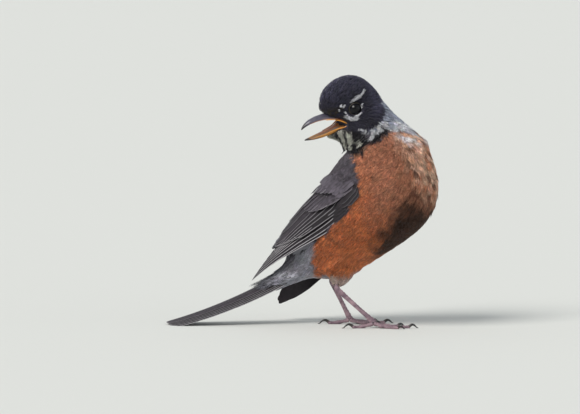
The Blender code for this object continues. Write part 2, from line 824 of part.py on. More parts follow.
def cut_pockets(whole):
    """Takes the places of the wings, tail, bill, mouth and eyes out of the smooth body."""
    for side in ("right", "left"):
        for patch in WING_PATCHES:
            boolean(whole, wing_solid("wing_cut", side, patch, grow=1.5 * CUT, out=3 * MM))
        boolean(whole, eye_solid("eye_cut", side, EYE_RADIUS + CUT))
    boolean(whole, tail_solid("tail_cut", grow=CUT))
    boolean(whole, mouth_wedge("mouth_cut"))
    for part in ("upper", "lower"):
        boolean(whole, bill_solid("bill_cut", part, grow=CUT))


def main():
    for obj in list(bpy.data.objects):
        bpy.data.objects.remove(obj)
    materials = make_materials()
    whole = make_plumage()
    cut_pockets(whole)
    nodes = part_plumage(whole, materials)
    part_thighs(nodes, materials)
    for node in nodes.values():
        keep_largest(node)
    make_wings(materials)
    tail = tail_solid("tail", material=materials["flight_feather"])
    flatten_below(tail)
    for part in ("upper", "lower"):
        bill_solid(f"bill_{part}", part, material=materials["bill_horn"])
    for side in ("right", "left"):
        eye_solid(f"eye_{side}", side, EYE_RADIUS, materials["eye_gloss"])
    tongue_solid(materials["tongue_skin"])
    make_legs(materials)
    for obj in bpy.data.objects:
        obj.data.transform(Matrix.Translation(ORIGIN_SHIFT))


main()
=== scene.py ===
"""Looks of a life-size standing american robin, its head turned back over its right side.

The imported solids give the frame. One skin replaces the solids of flesh, and feathers of solid
mesh lie over it: small tufts of barbs on head and body, and a closed vane for each wing and
tail feather. Bill, eyes, lids, legs and claws are pieces of their own. Lengths in the classes
are millimetres in the frame of the solids, and meshes are written in metres.
"""

from __future__ import annotations

import logging
import math
from dataclasses import dataclass, field
from enum import Enum
from typing import Callable, Dict, List, Optional, Sequence, Tuple

import bmesh
import bpy
import numpy as np
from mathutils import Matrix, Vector
from mathutils.bvhtree import BVHTree
from mathutils.kdtree import KDTree


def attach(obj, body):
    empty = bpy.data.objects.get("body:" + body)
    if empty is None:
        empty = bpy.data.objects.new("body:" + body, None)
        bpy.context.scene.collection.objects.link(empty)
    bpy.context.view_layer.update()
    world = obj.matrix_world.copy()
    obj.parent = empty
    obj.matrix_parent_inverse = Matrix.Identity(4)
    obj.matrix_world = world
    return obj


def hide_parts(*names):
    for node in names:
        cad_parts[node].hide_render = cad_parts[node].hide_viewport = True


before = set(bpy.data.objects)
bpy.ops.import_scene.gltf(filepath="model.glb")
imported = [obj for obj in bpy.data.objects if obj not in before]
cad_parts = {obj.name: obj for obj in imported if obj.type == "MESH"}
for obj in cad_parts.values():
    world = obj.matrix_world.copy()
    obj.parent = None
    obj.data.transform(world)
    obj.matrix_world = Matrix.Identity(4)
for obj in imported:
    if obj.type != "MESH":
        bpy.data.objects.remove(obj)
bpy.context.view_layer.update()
LOG = logging.getLogger("robin")

MM = 0.001
SHIFT = np.array((44.7, -1.5, 0.0))  # from the drawing's origin to the frame's
BODY = "root"
UP = np.array((0.0, 0.0, 1.0))
CLEARANCE = np.array((-np.inf, -np.inf, 0.02))  # no claw comes closer to the floor
TRUNK_LOW = 34.0  # where thighs leave the trunk, above the floor
PATCH = 0.003  # size of a feather's place on the map OFBake
Colour = Tuple[float, float, float]
Array = np.ndarray
Piece = bpy.types.Object
Material = bpy.types.Material


class Side(Enum):
    """The bird's own left and right."""

    LEFT = "left"
    RIGHT = "right"

    @property
    def sign(self) -> int:
        """1 on the left, -1 on the right."""
        return 1 if self is Side.LEFT else -1


# Numbers


def unit(vectors: Array) -> Array:
    """Vectors scaled to length 1, along the last axis."""
    vectors = np.asarray(vectors, float)
    return vectors / np.maximum(np.linalg.norm(vectors, axis=-1, keepdims=True), 1e-9)


def smooth(low: float, high: float, value: Array) -> Array:
    """0 below low, 1 above high and a smooth step between. Low may be the larger."""
    share = np.clip((np.asarray(value, float) - low) / (high - low), 0.0, 1.0)
    return share * share * (3 - 2 * share)


def rows_at(rows: Sequence[Sequence[float]], place: Array) -> Array:
    """The other columns of a table, on the last axis, at places in its rising first column."""
    table = np.array(rows, float)
    columns = [np.interp(place, table[:, 0], column) for column in table[:, 1:].T]
    return np.stack(columns, -1)


def resampled(line: Array, share: Array) -> Array:
    """Points at shares of a broken line, each of its parts counting alike."""
    known = np.linspace(0, 1, len(line))
    return np.stack([np.interp(share, known, column) for column in line.T], 1)


def line_gap(x: Array, y: Array, line: Sequence[Tuple[float, float]]) -> Array:
    """Distance from a broken line in a plane."""
    place = np.stack([x, y], -1)
    gap = np.full(len(place), 1e9)
    for start, end in zip(np.array(line[:-1], float), np.array(line[1:], float)):
        way = end - start
        share = np.clip(((place - start) @ way) / (way @ way), 0, 1)
        gap = np.minimum(gap, np.linalg.norm(place - start - share[:, None] * way, axis=1))
    return gap


CORNERS = [np.array((k & 1, k >> 1 & 1, k >> 2 & 1)) for k in range(8)]


def value_noise(points: Array, scale: float, seed: int = 0) -> Array:
    """Smooth noise from 0 to 1 over space, alike in each run.

    Args:
        points: Points in millimetres, (n, 3).
        scale: Size of one patch.
        seed: Picks another field.

    Returns:
        One value a point.
    """
    place = np.asarray(points, float) / scale + 1000.0
    cell = np.floor(place).astype(np.int64)
    part = place - cell
    part = part * part * (3 - 2 * part)
    total = np.zeros(len(place))
    for bits in CORNERS:
        key = (cell + bits) @ np.array((73856093, 19349663, 83492791)) + seed * 7919
        key = (key ^ (key >> 13)) * 1274126177 & 0x7FFFFFFF
        key = (key ^ (key >> 15)) * 668265263 & 0x7FFFFFFF
        weight = np.where(bits, part, 1 - part).prod(-1)
        total += weight * ((key >> 7) & 0xFFFF) / 65535.0
    return total


@dataclass(frozen=True)
class Axes:
    """An origin with three square unit directions."""

    origin: Array
    rows: Array

    def at(self, x: float, y: float, z: float) -> Array:
        """Point or points with these coordinates."""
        parts = [np.asarray(v, float)[..., None] * row for v, row in zip((x, y, z), self.rows)]
        return self.origin + parts[0] + parts[1] + parts[2]

    def local(self, points: Array) -> Array:
        """Coordinates of points in these axes."""
        return (points - self.origin) @ self.rows.T


def body_axes() -> Axes:
    """x along the back towards the neck, y towards the belly, z to the bird's left."""
    yaw, rise = math.radians(27.0), math.radians(51.0)
    ahead = np.array((math.cos(yaw), -math.sin(yaw), 0.0))
    along = ahead * math.cos(rise) + UP * math.sin(rise)
    belly = ahead * math.sin(rise) - UP * math.cos(rise)
    return Axes(np.array((-4.5, 0.0, 77.5)) + SHIFT, np.array((along, belly, np.cross(UP, ahead))))


def head_axes() -> Axes:
    """x towards the bill, y to the bird's left, z towards the crown."""
    yaw, pitch, roll = math.radians(24.0), math.radians(16.5), math.radians(8.0)
    level = np.array((-math.cos(yaw), -math.sin(yaw), 0.0))
    ahead = level * math.cos(pitch) - UP * math.sin(pitch)
    crown = unit(UP - ahead * ahead[2])
    top = crown * math.cos(roll) + np.cross(crown, ahead) * math.sin(roll)
    return Axes(np.array((-15.9, -9.0, 144.9)) + SHIFT, np.array((ahead, np.cross(top, ahead), top)))


TRUNK = body_axes()
HEAD = head_axes()
EYE_PLACE = (-1.4, 9.6, -1.5)  # the left eye's middle in the head's axes
EYE_RADIUS = 4.65
EYE_AIM = (0.22, 0.93, 0.26)  # the way the left eye looks
BILL_ROOT = (23.0, 0.0, -5.0)
MOUTH_LINE = (
    (16.5, 0.0), (16.0, -3.4), (9.0, -6.7), (5.2, -9.4), (3.9, -10.6), (7.0, -11.6), (12.0, -12.3),
    (17.0, -13.4)
)


def eye_axis(side: Side) -> Tuple[Array, Array]:
    """An eye's middle and the way it looks."""
    mirror = np.array((1, side.sign, 1))
    return HEAD.at(*(EYE_PLACE * mirror)), unit((EYE_AIM * mirror) @ HEAD.rows)


def face_size(points: Array) -> Array:
    """How small the feathers are near eyes and mouth, 1 away from them."""
    f, side, g = HEAD.local(points).T
    eye = np.linalg.norm(np.stack([f - 0.2, np.abs(side) - 13, g + 1.2], -1), axis=1)
    near = np.linalg.norm(np.stack([f, side, g], -1), axis=1) < 26
    size = (0.42 + 0.58 * smooth(0.8, 9.5, line_gap(f, g, MOUTH_LINE))) * (0.5 + 0.5 * smooth(4.6, 9.5, eye))
    return np.where(near, np.maximum(size, 0.36), 1.0)


# Materials


class Signal:
    """A shader socket that takes part in sums and products."""

    def __init__(self, shader: Shader, socket: bpy.types.NodeSocket) -> None:
        """Wraps a socket of a shader's nodes."""
        self.shader = shader
        self.socket = socket

    def math(self, operation: str, other: object = 0.0, swap: bool = False) -> Signal:
        """A Math node on this and another number or signal, which swap puts first."""
        pair = (other, self) if swap else (self, other)
        return self.shader.node("ShaderNodeMath", {"operation": operation}, {0: pair[0], 1: pair[1]})

    def __add__(self, other: object) -> Signal:
        """This plus other."""
        return self.math("ADD", other)

    __radd__ = __add__

    def __mul__(self, other: object) -> Signal:
        """This times other."""
        return self.math("MULTIPLY", other)

    __rmul__ = __mul__

    def __sub__(self, other: object) -> Signal:
        """This less other."""
        return self.math("SUBTRACT", other)

    def __rsub__(self, other: object) -> Signal:
        """Other less this."""
        return self.math("SUBTRACT", other, swap=True)

    def __pow__(self, other: object) -> Signal:
        """This to a power."""
        return self.math("POWER", other)

    def step(self, low: float, high: float) -> Signal:
        """0 to 1 as this goes smoothly from low to high."""
        settings = {"interpolation_type": "SMOOTHSTEP"}
        return self.shader.node("ShaderNodeMapRange", settings, {"Value": self, 1: low, 2: high})


class Shader:
    """Builds one node material round a Principled shader."""

    def __init__(self, name: str) -> None:
        """Starts an empty material of this name."""
        self.material = bpy.data.materials.new(name)
        self.material.use_nodes = True
        self.tree = self.material.node_tree
        self.main = self.tree.nodes["Principled BSDF"]

    def node(self, kind: str, settings: Dict = {}, inputs: Dict = {}, output: object = 0) -> Signal:
        """Adds a node.

        Args:
            kind: The node's type.
            settings: Attributes, set before the sockets.
            inputs: Socket name or number to a value or signal.
            output: Name or number of the socket to return.

        Returns:
            The chosen output.
        """
        made = self.tree.nodes.new(kind)
        for key, value in settings.items():
            setattr(made, key, value)
        for key, value in inputs.items():
            if isinstance(value, Signal):
                self.tree.links.new(value.socket, made.inputs[key])
            else:
                made.inputs[key].default_value = value
        return Signal(self, made.outputs[output])

    def attribute(self, name: str, output: str = "Fac") -> Signal:
        """A mesh attribute, as a number or as a colour."""
        return self.node("ShaderNodeAttribute", {"attribute_name": name}, {}, output)

    def place(self, scale: Sequence[float] = (1.0, 1.0, 1.0)) -> Signal:
        """Object coordinates, stretched by a scale a side."""
        coords = self.node("ShaderNodeTexCoord", output="Object")
        return self.node("ShaderNodeMapping", {}, {"Vector": coords, "Scale": scale})

    def noise(self, scale: float, detail: float = 3.0, where: Optional[Signal] = None) -> Signal:
        """Noise over the object or over another vector."""
        where = where or self.place()
        inputs = {"Vector": where, "Scale": scale, "Detail": detail}
        return self.node("ShaderNodeTexNoise", {}, inputs)

    def mix(self, share: object, first: object, second: object, blend: str = "MIX") -> Signal:
        """Two colours or signals mixed, by the second one's share."""
        fill = [(*c, 1.0) if isinstance(c, tuple) and len(c) == 3 else c for c in (first, second)]
        settings = {"data_type": "RGBA", "blend_type": blend}
        return self.node("ShaderNodeMix", settings, {0: share, 6: fill[0], 7: fill[1]}, 2)

    def bump(self, height: Signal, strength: float, distance: float) -> None:
        """Feeds a height through a Bump node to the normal."""
        inputs = {"Height": height, "Strength": strength, "Distance": distance}
        self.drive("Normal", self.node("ShaderNodeBump", {}, inputs))

    def drive(self, socket: str, signal: Signal) -> None:
        """Links a signal to the main shader."""
        self.tree.links.new(signal.socket, self.main.inputs[socket])

    def done(self, colour: Signal, roughness: Signal, **fixed: object) -> Material:
        """The material, its colour and roughness linked and its constants set."""
        self.drive("Base Color", colour)
        self.drive("Roughness", roughness)
        self.fix(**fixed)
        return self.material

    def fix(self, **values: object) -> None:
        """Sets constants on the main shader, its names written with underscores."""
        for key, value in values.items():
            self.main.inputs[key.replace("_", " ")].default_value = value


@dataclass(frozen=True)
class PlumageFinish:
    """Soft contour feathers, coloured by the coat's markings with painted shade and sheen laid in, with fine
    barbs.
    """

    name: str = "plumage"
    mottle: float = 0.16
    contrast: float = 0.42

    def make(self) -> Material:
        """Builds the material."""
        shader = Shader(self.name)
        tint = shader.attribute("Tint", "Color")
        patches = shader.noise(210.0, 4.0).step(0.3, 0.7)
        barbs = shader.noise(1.0, 2.0, shader.attribute("Barb", "Vector"))
        shade = shader.mix(patches, (1 - self.mottle,) * 3, (1.0 + self.mottle * 0.5,) * 3)
        colour = shader.mix(1.0, tint, shade, "MULTIPLY")
        low, high = 1 - self.contrast, 1 + self.contrast * 0.75
        fine = shader.mix(barbs.step(0.33, 0.66), (low, low * 0.98, low * 0.96), (high, high, high))
        shader.bump(barbs, 0.5, 0.00015)
        return shader.done(
            shader.mix(1.0, colour, fine, "MULTIPLY"), 0.56 + barbs * 0.3, Sheen_Weight=0.1,
            Sheen_Roughness=0.5, Specular_IOR_Level=0.22
        )


@dataclass(frozen=True)
class FlightFinish:
    """Closed vanes with barb lines, a shaft and a pale rim."""

    name: str = "flight_vane"
    rim: Colour = (0.5, 0.48, 0.5)

    def make(self) -> Material:
        """Builds the material."""
        shader = Shader(self.name)
        tint = shader.attribute("Tint", "Color")
        rim_share = shader.attribute("Rim")
        web = shader.attribute("Web")
        run = shader.attribute("Run")
        spread = web.math("ABSOLUTE")
        lines = (run * 8.0 - spread * 11.0 + shader.noise(260.0) * 4.0).math("SINE") * 0.5 + 0.5
        shaft = 1.0 - spread.step(0.12, 0.3)
        wear = shader.noise(420.0, 4.0)
        dark = shader.mix(wear.step(0.25, 0.8), (0.66, 0.64, 0.66), (1.3, 1.26, 1.3))
        colour = shader.mix(1.0, tint, dark, "MULTIPLY")
        colour = shader.mix(
            1.0, colour, shader.mix(lines, (0.84, 0.84, 0.84), (1.18, 1.18, 1.18)), "MULTIPLY"
        )
        colour = shader.mix(shaft * 0.8, colour, (0.012, 0.009, 0.008))
        edge = rim_share.step(0.4, 0.8) * (0.55 + wear * 0.7) * shader.attribute("Tint", "Alpha")
        colour = shader.mix(edge, colour, self.rim)
        shader.bump(lines * 0.5 + shaft * 1.6, 0.3, 0.0001)
        return shader.done(colour, 0.44 + lines * 0.12, Sheen_Weight=0.03, Specular_IOR_Level=0.28)


@dataclass(frozen=True)
class HornFinish:
    """Keratin of the bill: grey horn towards the tip, flesh colour at its edges."""

    name: str
    horn: Colour
    warm: Colour
    dark: Colour
    gloss: float = 0.3

    def make(self) -> Material:
        """Builds the material."""
        shader = Shader(self.name)
        warm = shader.attribute("Warm")
        dark = shader.attribute("Dark")
        cloud = shader.noise(420.0, 5.0)
        grain = shader.noise(900.0, 3.0, shader.place((1.0, 1.0, 3.0)))
        colour = shader.mix(cloud.step(0.25, 0.75), self.horn, tuple(c * 1.5 for c in self.horn))
        colour = shader.mix((warm + cloud * 0.5 - 0.25).step(0.15, 0.75), colour, self.warm)
        colour = shader.mix((dark + grain * 0.3 - 0.15).step(0.2, 0.8), colour, self.dark)
        shader.bump(grain + cloud * 0.5, 0.12, 0.00025)
        shader.main.inputs["Subsurface Radius"].default_value = (0.001, 0.0005, 0.0003)
        return shader.done(
            colour, self.gloss + grain * 0.16, Coat_Weight=0.35, Coat_Roughness=0.18, Subsurface_Weight=0.06
        )


@dataclass(frozen=True)
class LegFinish:
    """Horny shields and scales with darker joints between them."""

    name: str = "leg_scales"
    skin: Colour = (0.15, 0.092, 0.122)
    pale: Colour = (0.38, 0.25, 0.285)
    dark: Colour = (0.028, 0.017, 0.026)

    def make(self) -> Material:
        """Builds the material."""
        shader = Shader(self.name)
        joint = shader.attribute("Joint")
        cloud = shader.noise(260.0, 4.0)
        cells = {"Vector": shader.place(), "Scale": 1500.0}
        scale = shader.node("ShaderNodeTexVoronoi", {"feature": "DISTANCE_TO_EDGE"}, cells)
        colour = shader.mix(cloud.step(0.3, 0.7), self.skin, self.pale)
        colour = shader.mix((1.0 - scale.step(0.0, 0.16)) * 0.35, colour, self.dark)
        colour = shader.mix(joint.step(0.25, 0.9) * 0.85, colour, self.dark)
        shader.bump(scale.step(0.0, 0.22) - joint * 0.8, 0.4, 0.0002)
        return shader.done(colour, 0.36 + cloud * 0.2, Coat_Weight=0.12, Coat_Roughness=0.3)


@dataclass(frozen=True)
class WetFinish:
    """Moist flesh of the mouth, tongue and lids."""

    name: str
    colour: Colour
    deep: Colour
    gloss: float = 0.22

    def make(self) -> Material:
        """Builds the material."""
        shader = Shader(self.name)
        cloud = shader.noise(700.0, 4.0)
        beads = shader.noise(2600.0, 2.0)
        colour = shader.mix(cloud.step(0.3, 0.75), self.colour, self.deep)
        shader.bump(beads + cloud * 0.6, 0.35, 0.00018)
        return shader.done(colour, self.gloss + beads * 0.2, Coat_Weight=0.3, Coat_Roughness=0.15)


@dataclass(frozen=True)
class EyeFinish:
    """Near-black iris round the pupil, tinted a little blue as painted reflection of the sky, under a clear
    wet front.
    """

    name: str = "eye_gloss"
    # Iris and pupil: their slight blue tint is painted reflection of the sky.
    iris: Colour = (0.0019, 0.002, 0.0034)
    pupil: Colour = (0.0015, 0.0015, 0.002)

    def make(self) -> Material:
        """Builds the material."""
        shader = Shader(self.name)
        ring = shader.attribute("Ring")
        streaks = shader.noise(1800.0, 4.0)
        iris = shader.mix(streaks.step(0.3, 0.7), self.iris, tuple(c * 2.2 for c in self.iris))
        return shader.done(
            shader.mix(ring.step(0.42, 0.56), self.pupil, iris), 0.16 + streaks * 0.05, Coat_Weight=0.4,
            Coat_Roughness=0.03, Specular_IOR_Level=0.05
        )


@dataclass(frozen=True)
class ClawFinish:
    """Polished dark horn, a little paler at the root."""

    name: str = "claw_horn"
    horn: Colour = (0.01, 0.008, 0.008)
    root: Colour = (0.055, 0.04, 0.036)

    def make(self) -> Material:
        """Builds the material."""
        shader = Shader(self.name)
        run = shader.attribute("Joint")
        grain = shader.noise(1500.0, 3.0, shader.place((1.0, 3.0, 3.0)))
        colour = shader.mix(run.step(0.0, 0.35), self.root, self.horn)
        shader.bump(grain, 0.15, 0.0001)
        return shader.done(
            shader.mix(grain.step(0.4, 0.8) * 0.3, colour, self.root), 0.26 + grain * 0.15, Coat_Weight=0.3,
            Coat_Roughness=0.12
        )


# Making pieces


class Bench:
    """Modelling moves shared by all pieces."""

    orders: Dict[str, Array] = {}  # a loft's points, ring by ring

    @staticmethod
    def clear() -> None:
        """Leaves object mode's selection empty."""
        if bpy.context.object and bpy.context.object.mode != "OBJECT":
            bpy.ops.object.mode_set(mode="OBJECT")
        bpy.ops.object.select_all(action="DESELECT")

    @staticmethod
    def pick(obj: Piece) -> None:
        """Selects one object alone and makes it active."""
        Bench.clear()
        obj.select_set(True)
        bpy.context.view_layer.objects.active = obj

    @staticmethod
    def outward(obj: Piece) -> None:
        """Turns all the faces of a closed piece outward."""
        Bench.pick(obj)
        bpy.ops.object.mode_set(mode="EDIT")
        bpy.ops.mesh.select_all(action="SELECT")
        bpy.ops.mesh.normals_make_consistent(inside=False)
        bpy.ops.object.mode_set(mode="OBJECT")

    @staticmethod
    def apply(obj: Piece, kind: str, **settings: object) -> None:
        """Adds a modifier with these settings and applies it."""
        Bench.pick(obj)
        modifier = obj.modifiers.new(kind.lower(), kind)
        for key, value in settings.items():
            setattr(modifier, key, value)
        bpy.ops.object.modifier_apply(modifier=modifier.name)

    @staticmethod
    def loft(name: str, rings: Sequence[Array]) -> Piece:
        """A circle extruded from ring to ring into a closed solid.

        Args:
            name: The piece's name.
            rings: Rings of equal count, in millimetres.

        Returns:
            The new object.
        """
        Bench.clear()
        count = len(rings[0])
        bpy.ops.mesh.primitive_circle_add(vertices=count, radius=MM, fill_type="NGON")
        obj = bpy.context.object
        obj.name = obj.data.name = name
        bpy.ops.object.mode_set(mode="EDIT")
        bpy.ops.mesh.select_all(action="SELECT")
        mesh = bmesh.from_edit_mesh(obj.data)
        mesh.verts.ensure_lookup_table()
        order = list(range(count))
        every = list(order)
        for vert, place in zip(mesh.verts, rings[0]):
            vert.co = Vector(place * MM)
        for ring in rings[1:]:
            bpy.ops.mesh.extrude_region_move()
            mesh = bmesh.from_edit_mesh(obj.data)
            mesh.verts.index_update()
            mesh.verts.ensure_lookup_table()
            fresh = []
            for index, place in zip(order, ring):
                near = [e.other_vert(mesh.verts[index]) for e in mesh.verts[index].link_edges]
                vert = next(v for v in near if v.select)
                vert.co = Vector(place * MM)
                fresh.append(vert.index)
            order = fresh
            every += fresh
        bpy.ops.mesh.select_all(action="SELECT")
        bpy.ops.mesh.normals_make_consistent(inside=False)
        bpy.ops.object.mode_set(mode="OBJECT")
        bpy.ops.object.shade_smooth()
        Bench.orders[name] = np.array(every)
        return obj

    @staticmethod
    def points(obj: Piece) -> Array:
        """The mesh's points in millimetres."""
        flat = np.zeros(len(obj.data.vertices) * 3)
        obj.data.vertices.foreach_get("co", flat)
        return flat.reshape(-1, 3) / MM

    @staticmethod
    def place(obj: Piece, points: Array) -> None:
        """Moves the mesh's points, given in millimetres."""
        obj.data.vertices.foreach_set("co", (points * MM).ravel())
        obj.data.update()

    @staticmethod
    def store(obj: Piece, name: str, kind: str, socket: str, values: Array) -> None:
        """Stores a value a point."""
        layer = obj.data.attributes.new(name, kind, "POINT")
        layer.data.foreach_set(socket, np.asarray(values, np.float32).ravel())

    @staticmethod
    def number(obj: Piece, name: str, values: Array) -> None:
        """Stores a number a point, a loft's ring by ring."""
        stored = np.array(values, np.float32)
        if obj.name in Bench.orders:
            stored[Bench.orders[obj.name]] = values
        Bench.store(obj, name, "FLOAT", "value", stored)

    @staticmethod
    def tint(obj: Piece, colours: Array) -> None:
        """Stores a colour a point, as the attribute Tint."""
        full = np.ones((len(colours), 4), np.float32)
        full[:, : colours.shape[1]] = colours
        Bench.store(obj, "Tint", "FLOAT_COLOR", "color", full)

    @staticmethod
    def array_mesh(name: str, points: Array, faces: Array) -> Piece:
        """A mesh of many small things from points in millimetres and faces of one size."""
        mesh = bpy.data.meshes.new(name)
        size = faces.shape[1]
        mesh.vertices.add(len(points))
        mesh.vertices.foreach_set("co", (points * MM).astype(np.float32).ravel())
        mesh.loops.add(faces.size)
        mesh.loops.foreach_set("vertex_index", faces.astype(np.int32).ravel())
        mesh.polygons.add(len(faces))
        mesh.polygons.foreach_set("loop_start", np.arange(0, faces.size, size, dtype=np.int32))
        mesh.update(calc_edges=True)
        mesh.validate()
        obj = bpy.data.objects.new(name, mesh)
        bpy.context.scene.collection.objects.link(obj)
        return obj

    @staticmethod
    def bake_map(obj: Piece, places: Array, faces: Array) -> None:
        """Adds the UV map OFBake from one place a point."""
        layer = obj.data.uv_layers.new(name="OFBake")
        flat = places[faces.ravel()].astype(np.float32)
        layer.uv.foreach_set("vector", flat.ravel())

    @staticmethod
    def hand_over(
        obj: Piece,
        material: Material,
        slot: str,
        replaced: Sequence[str] = (),
    ) -> Piece:
        """Gives a finished piece its material and body, and hides the solids it stands for."""
        obj.data.materials.clear()
        obj.data.materials.append(material)
        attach(obj, BODY)
        if replaced:
            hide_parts(*replaced)
        count = sum(len(p.vertices) - 2 for p in obj.data.polygons)
        LOG.info("%s: %d triangles", obj.name, count)
        return obj


# Skin and its form


@dataclass
class Form:
    """The feathered outline as a grid of distances, read smoothly at any point."""

    obj: Piece
    step: float = 1.8
    margin: float = 9.0
    low: Array = field(init=False)
    grid: Array = field(init=False)
    slopes: Array = field(init=False)
    triangles: Array = field(init=False)

    def __post_init__(self) -> None:
        """Keeps the triangles and measures the distance at each place of the grid."""
        points = Bench.points(self.obj)
        mesh = self.obj.data
        mesh.calc_loop_triangles()
        corners = np.zeros(len(mesh.loop_triangles) * 3, np.int32)
        mesh.loop_triangles.foreach_get("vertices", corners)
        self.triangles = points[corners.reshape(-1, 3)]
        self.low = points.min(0) - self.margin
        count = np.ceil((points.max(0) + self.margin - self.low) / self.step).astype(int) + 1
        tree = BVHTree.FromObject(self.obj, bpy.context.evaluated_depsgraph_get())
        lines = [self.low[a] + self.step * np.arange(count[a]) for a in range(3)]
        places = np.stack(np.meshgrid(*lines, indexing="ij"), -1).reshape(-1, 3)
        found = np.zeros(len(places))
        for k, place in enumerate((places * MM).tolist()):
            near, normal, _, gap = tree.find_nearest(place)
            inside = (Vector(place) - near).dot(normal) < 0
            found[k] = -gap if inside else gap
        self.grid = found.reshape(count) / MM
        self.slopes = np.stack(np.gradient(self.grid, self.step), -1)

    def read(self, grid: Array, points: Array) -> Array:
        """A grid's value between its places, three ways linear."""
        place = (points - self.low) / self.step
        last = np.array(grid.shape[:3]) - 2
        cell = np.clip(np.floor(place).astype(int), 0, last)
        part = np.clip(place - cell, 0.0, 1.0)
        total = 0.0
        for bits in CORNERS:
            at = cell + bits
            weight = np.where(bits, part, 1 - part).prod(-1)
            value = grid[at[:, 0], at[:, 1], at[:, 2]]
            total = total + (value * weight[:, None] if value.ndim > 1 else value * weight)
        return total

    def normal(self, points: Array) -> Array:
        """The outward way at points, (n, 3)."""
        return unit(self.read(self.slopes, points))

    def settle(self, points: Array, height: Array) -> Array:
        """Points moved to a height over the form, along its normals."""
        for _ in range(2):
            gap = height - self.read(self.grid, points)
            points = points + self.normal(points) * gap[:, None]
        return points

    def drop(self, points: Array, axis: Array) -> Array:
        """Points moved along an axis onto the form."""
        for _ in range(8):
            slope = np.maximum(self.normal(points) @ axis, 0.35)
            points = points - axis * (self.read(self.grid, points) / slope)[:, None]
        return points


FLESH = ("head", "neck", "trunk", "rump", "thigh_left", "thigh_right")
FILLERS = ("wing_left_coverts", "wing_right_coverts", "wing_left_secondaries", "wing_right_secondaries")


@dataclass
class Skin:
    """One skin over all the flesh, inside its solids by the coat's depth."""

    voxel: float = 0.9
    passes: int = 8
    depth: float = 2.3
    head_depth: float = 1.3
    leg_depth: float = 0.5

    def merged(self, names: Sequence[str], name: str) -> Piece:
        """A joined copy of solids, its loose triangles merged, and its gaps closed."""
        Bench.clear()
        copies = []
        for node in names:
            copy = bpy.data.objects.new(name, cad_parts[node].data.copy())
            bpy.context.scene.collection.objects.link(copy)
            copies.append(copy)
        for copy in copies:
            copy.select_set(True)
        bpy.context.view_layer.objects.active = copies[0]
        bpy.ops.object.join()
        obj = bpy.context.object
        obj.name = obj.data.name = name
        bpy.ops.object.mode_set(mode="EDIT")
        bpy.ops.mesh.select_all(action="SELECT")
        bpy.ops.mesh.remove_doubles(threshold=0.00001)
        bpy.ops.object.mode_set(mode="OBJECT")
        Bench.apply(obj, "REMESH", mode="VOXEL", voxel_size=self.voxel * MM)
        Bench.apply(obj, "SMOOTH", factor=0.5, iterations=self.passes)
        return obj

    def form(self) -> Form:
        """The outline the feathers' tips make."""
        return Form(self.merged(FLESH + FILLERS, "outline"))

    def depth_at(self, points: Array) -> Array:
        """How far the skin lies inside the outline."""
        head = HEAD.local(points)
        near = smooth(34, 20, np.linalg.norm(head - (0.0, 0.0, -3.0), axis=1))
        low = smooth(TRUNK_LOW + 8, TRUNK_LOW - 2, points[:, 2])
        depth = self.depth + (self.head_depth * face_size(points) ** 1.5 - self.depth) * near
        return depth + (self.leg_depth - depth) * low

    def build(self, form: Form, markings: Markings, material: Material) -> Piece:
        """Makes the skin: the outline sunk by the coat's depth, in the coat's colours darkened as painted
        shade between the feathers.
        """
        obj = form.obj
        obj.name = obj.data.name = "skin"
        points = Bench.points(obj)
        sunk = form.settle(points, -self.depth_at(points))
        Bench.place(obj, sunk)
        Bench.apply(obj, "REMESH", mode="VOXEL", voxel_size=1.1 * MM)
        Bench.apply(obj, "SMOOTH", factor=0.5, iterations=6)
        Bench.pick(obj)
        bpy.ops.object.shade_smooth()
        points = Bench.points(obj)
        centre, edge = markings.colours(points)
        # Painted shade: the coat's colours darkened, for the shade in the gaps between feathers.
        Bench.tint(obj, centre * 0.55 + edge * 0.25)
        return Bench.hand_over(obj, material, "plumage_grey", FLESH)


# Markings


@dataclass(frozen=True)
class Pigment:
    """A feather's colour at its middle and at its rim."""

    middle: Colour
    rim: Colour


class Pigments(Enum):
    """The colours of the plumage, painted shade and a painted sheen among them."""

    # HOOD's pale blue-grey rims: partly the feathers' own pale edges, partly painted sheen.
    HOOD = Pigment((0.011, 0.01, 0.018), (0.085, 0.08, 0.135))
    # Painted sheen: a lighter, bluer tone for the crown and the rear of the hood.
    PAINTED_SHEEN = Pigment((0.048, 0.046, 0.082), (0.2, 0.195, 0.32))
    LORES = Pigment((0.03, 0.024, 0.018), (0.12, 0.095, 0.06))
    NAPE = Pigment((0.29, 0.32, 0.41), (0.62, 0.66, 0.79))
    WHITE = Pigment((0.62, 0.63, 0.68), (0.95, 0.96, 1.00))
    THROAT = Pigment((0.52, 0.52, 0.44), (0.88, 0.89, 0.82))
    STREAK = Pigment((0.009, 0.008, 0.011), (0.022, 0.02, 0.028))
    RIM_WHITE = Pigment((0.76, 0.77, 0.81), (0.94, 0.95, 1.00))
    RUFF = Pigment((0.9, 0.47, 0.3), (1.000, 0.78, 0.62))
    FROST = Pigment((0.78, 0.74, 0.76), (1.000, 0.97, 0.98))
    # Painted shade: dark brown streaks for the gaps between ruffled feathers.
    UMBER = Pigment((0.08, 0.03, 0.016), (0.24, 0.098, 0.055))
    BREAST = Pigment((0.6, 0.235, 0.13), (0.8, 0.41, 0.26))
    FLANK = Pigment((0.7, 0.195, 0.062), (0.92, 0.36, 0.16))
    # Painted shade: dark brown for the lower breast and belly, where the bird's own shadow falls.
    PAINTED_BELLY_SHADE = Pigment((0.042, 0.017, 0.009), (0.1, 0.044, 0.024))
    BACK = Pigment((0.082, 0.068, 0.086), (0.2, 0.178, 0.215))
    RUMP = Pigment((0.085, 0.085, 0.105), (0.19, 0.19, 0.225))
    VENT = Pigment((0.35, 0.345, 0.4), (0.76, 0.76, 0.86))
    THIGH = Pigment((0.5, 0.33, 0.27), (0.86, 0.8, 0.78))


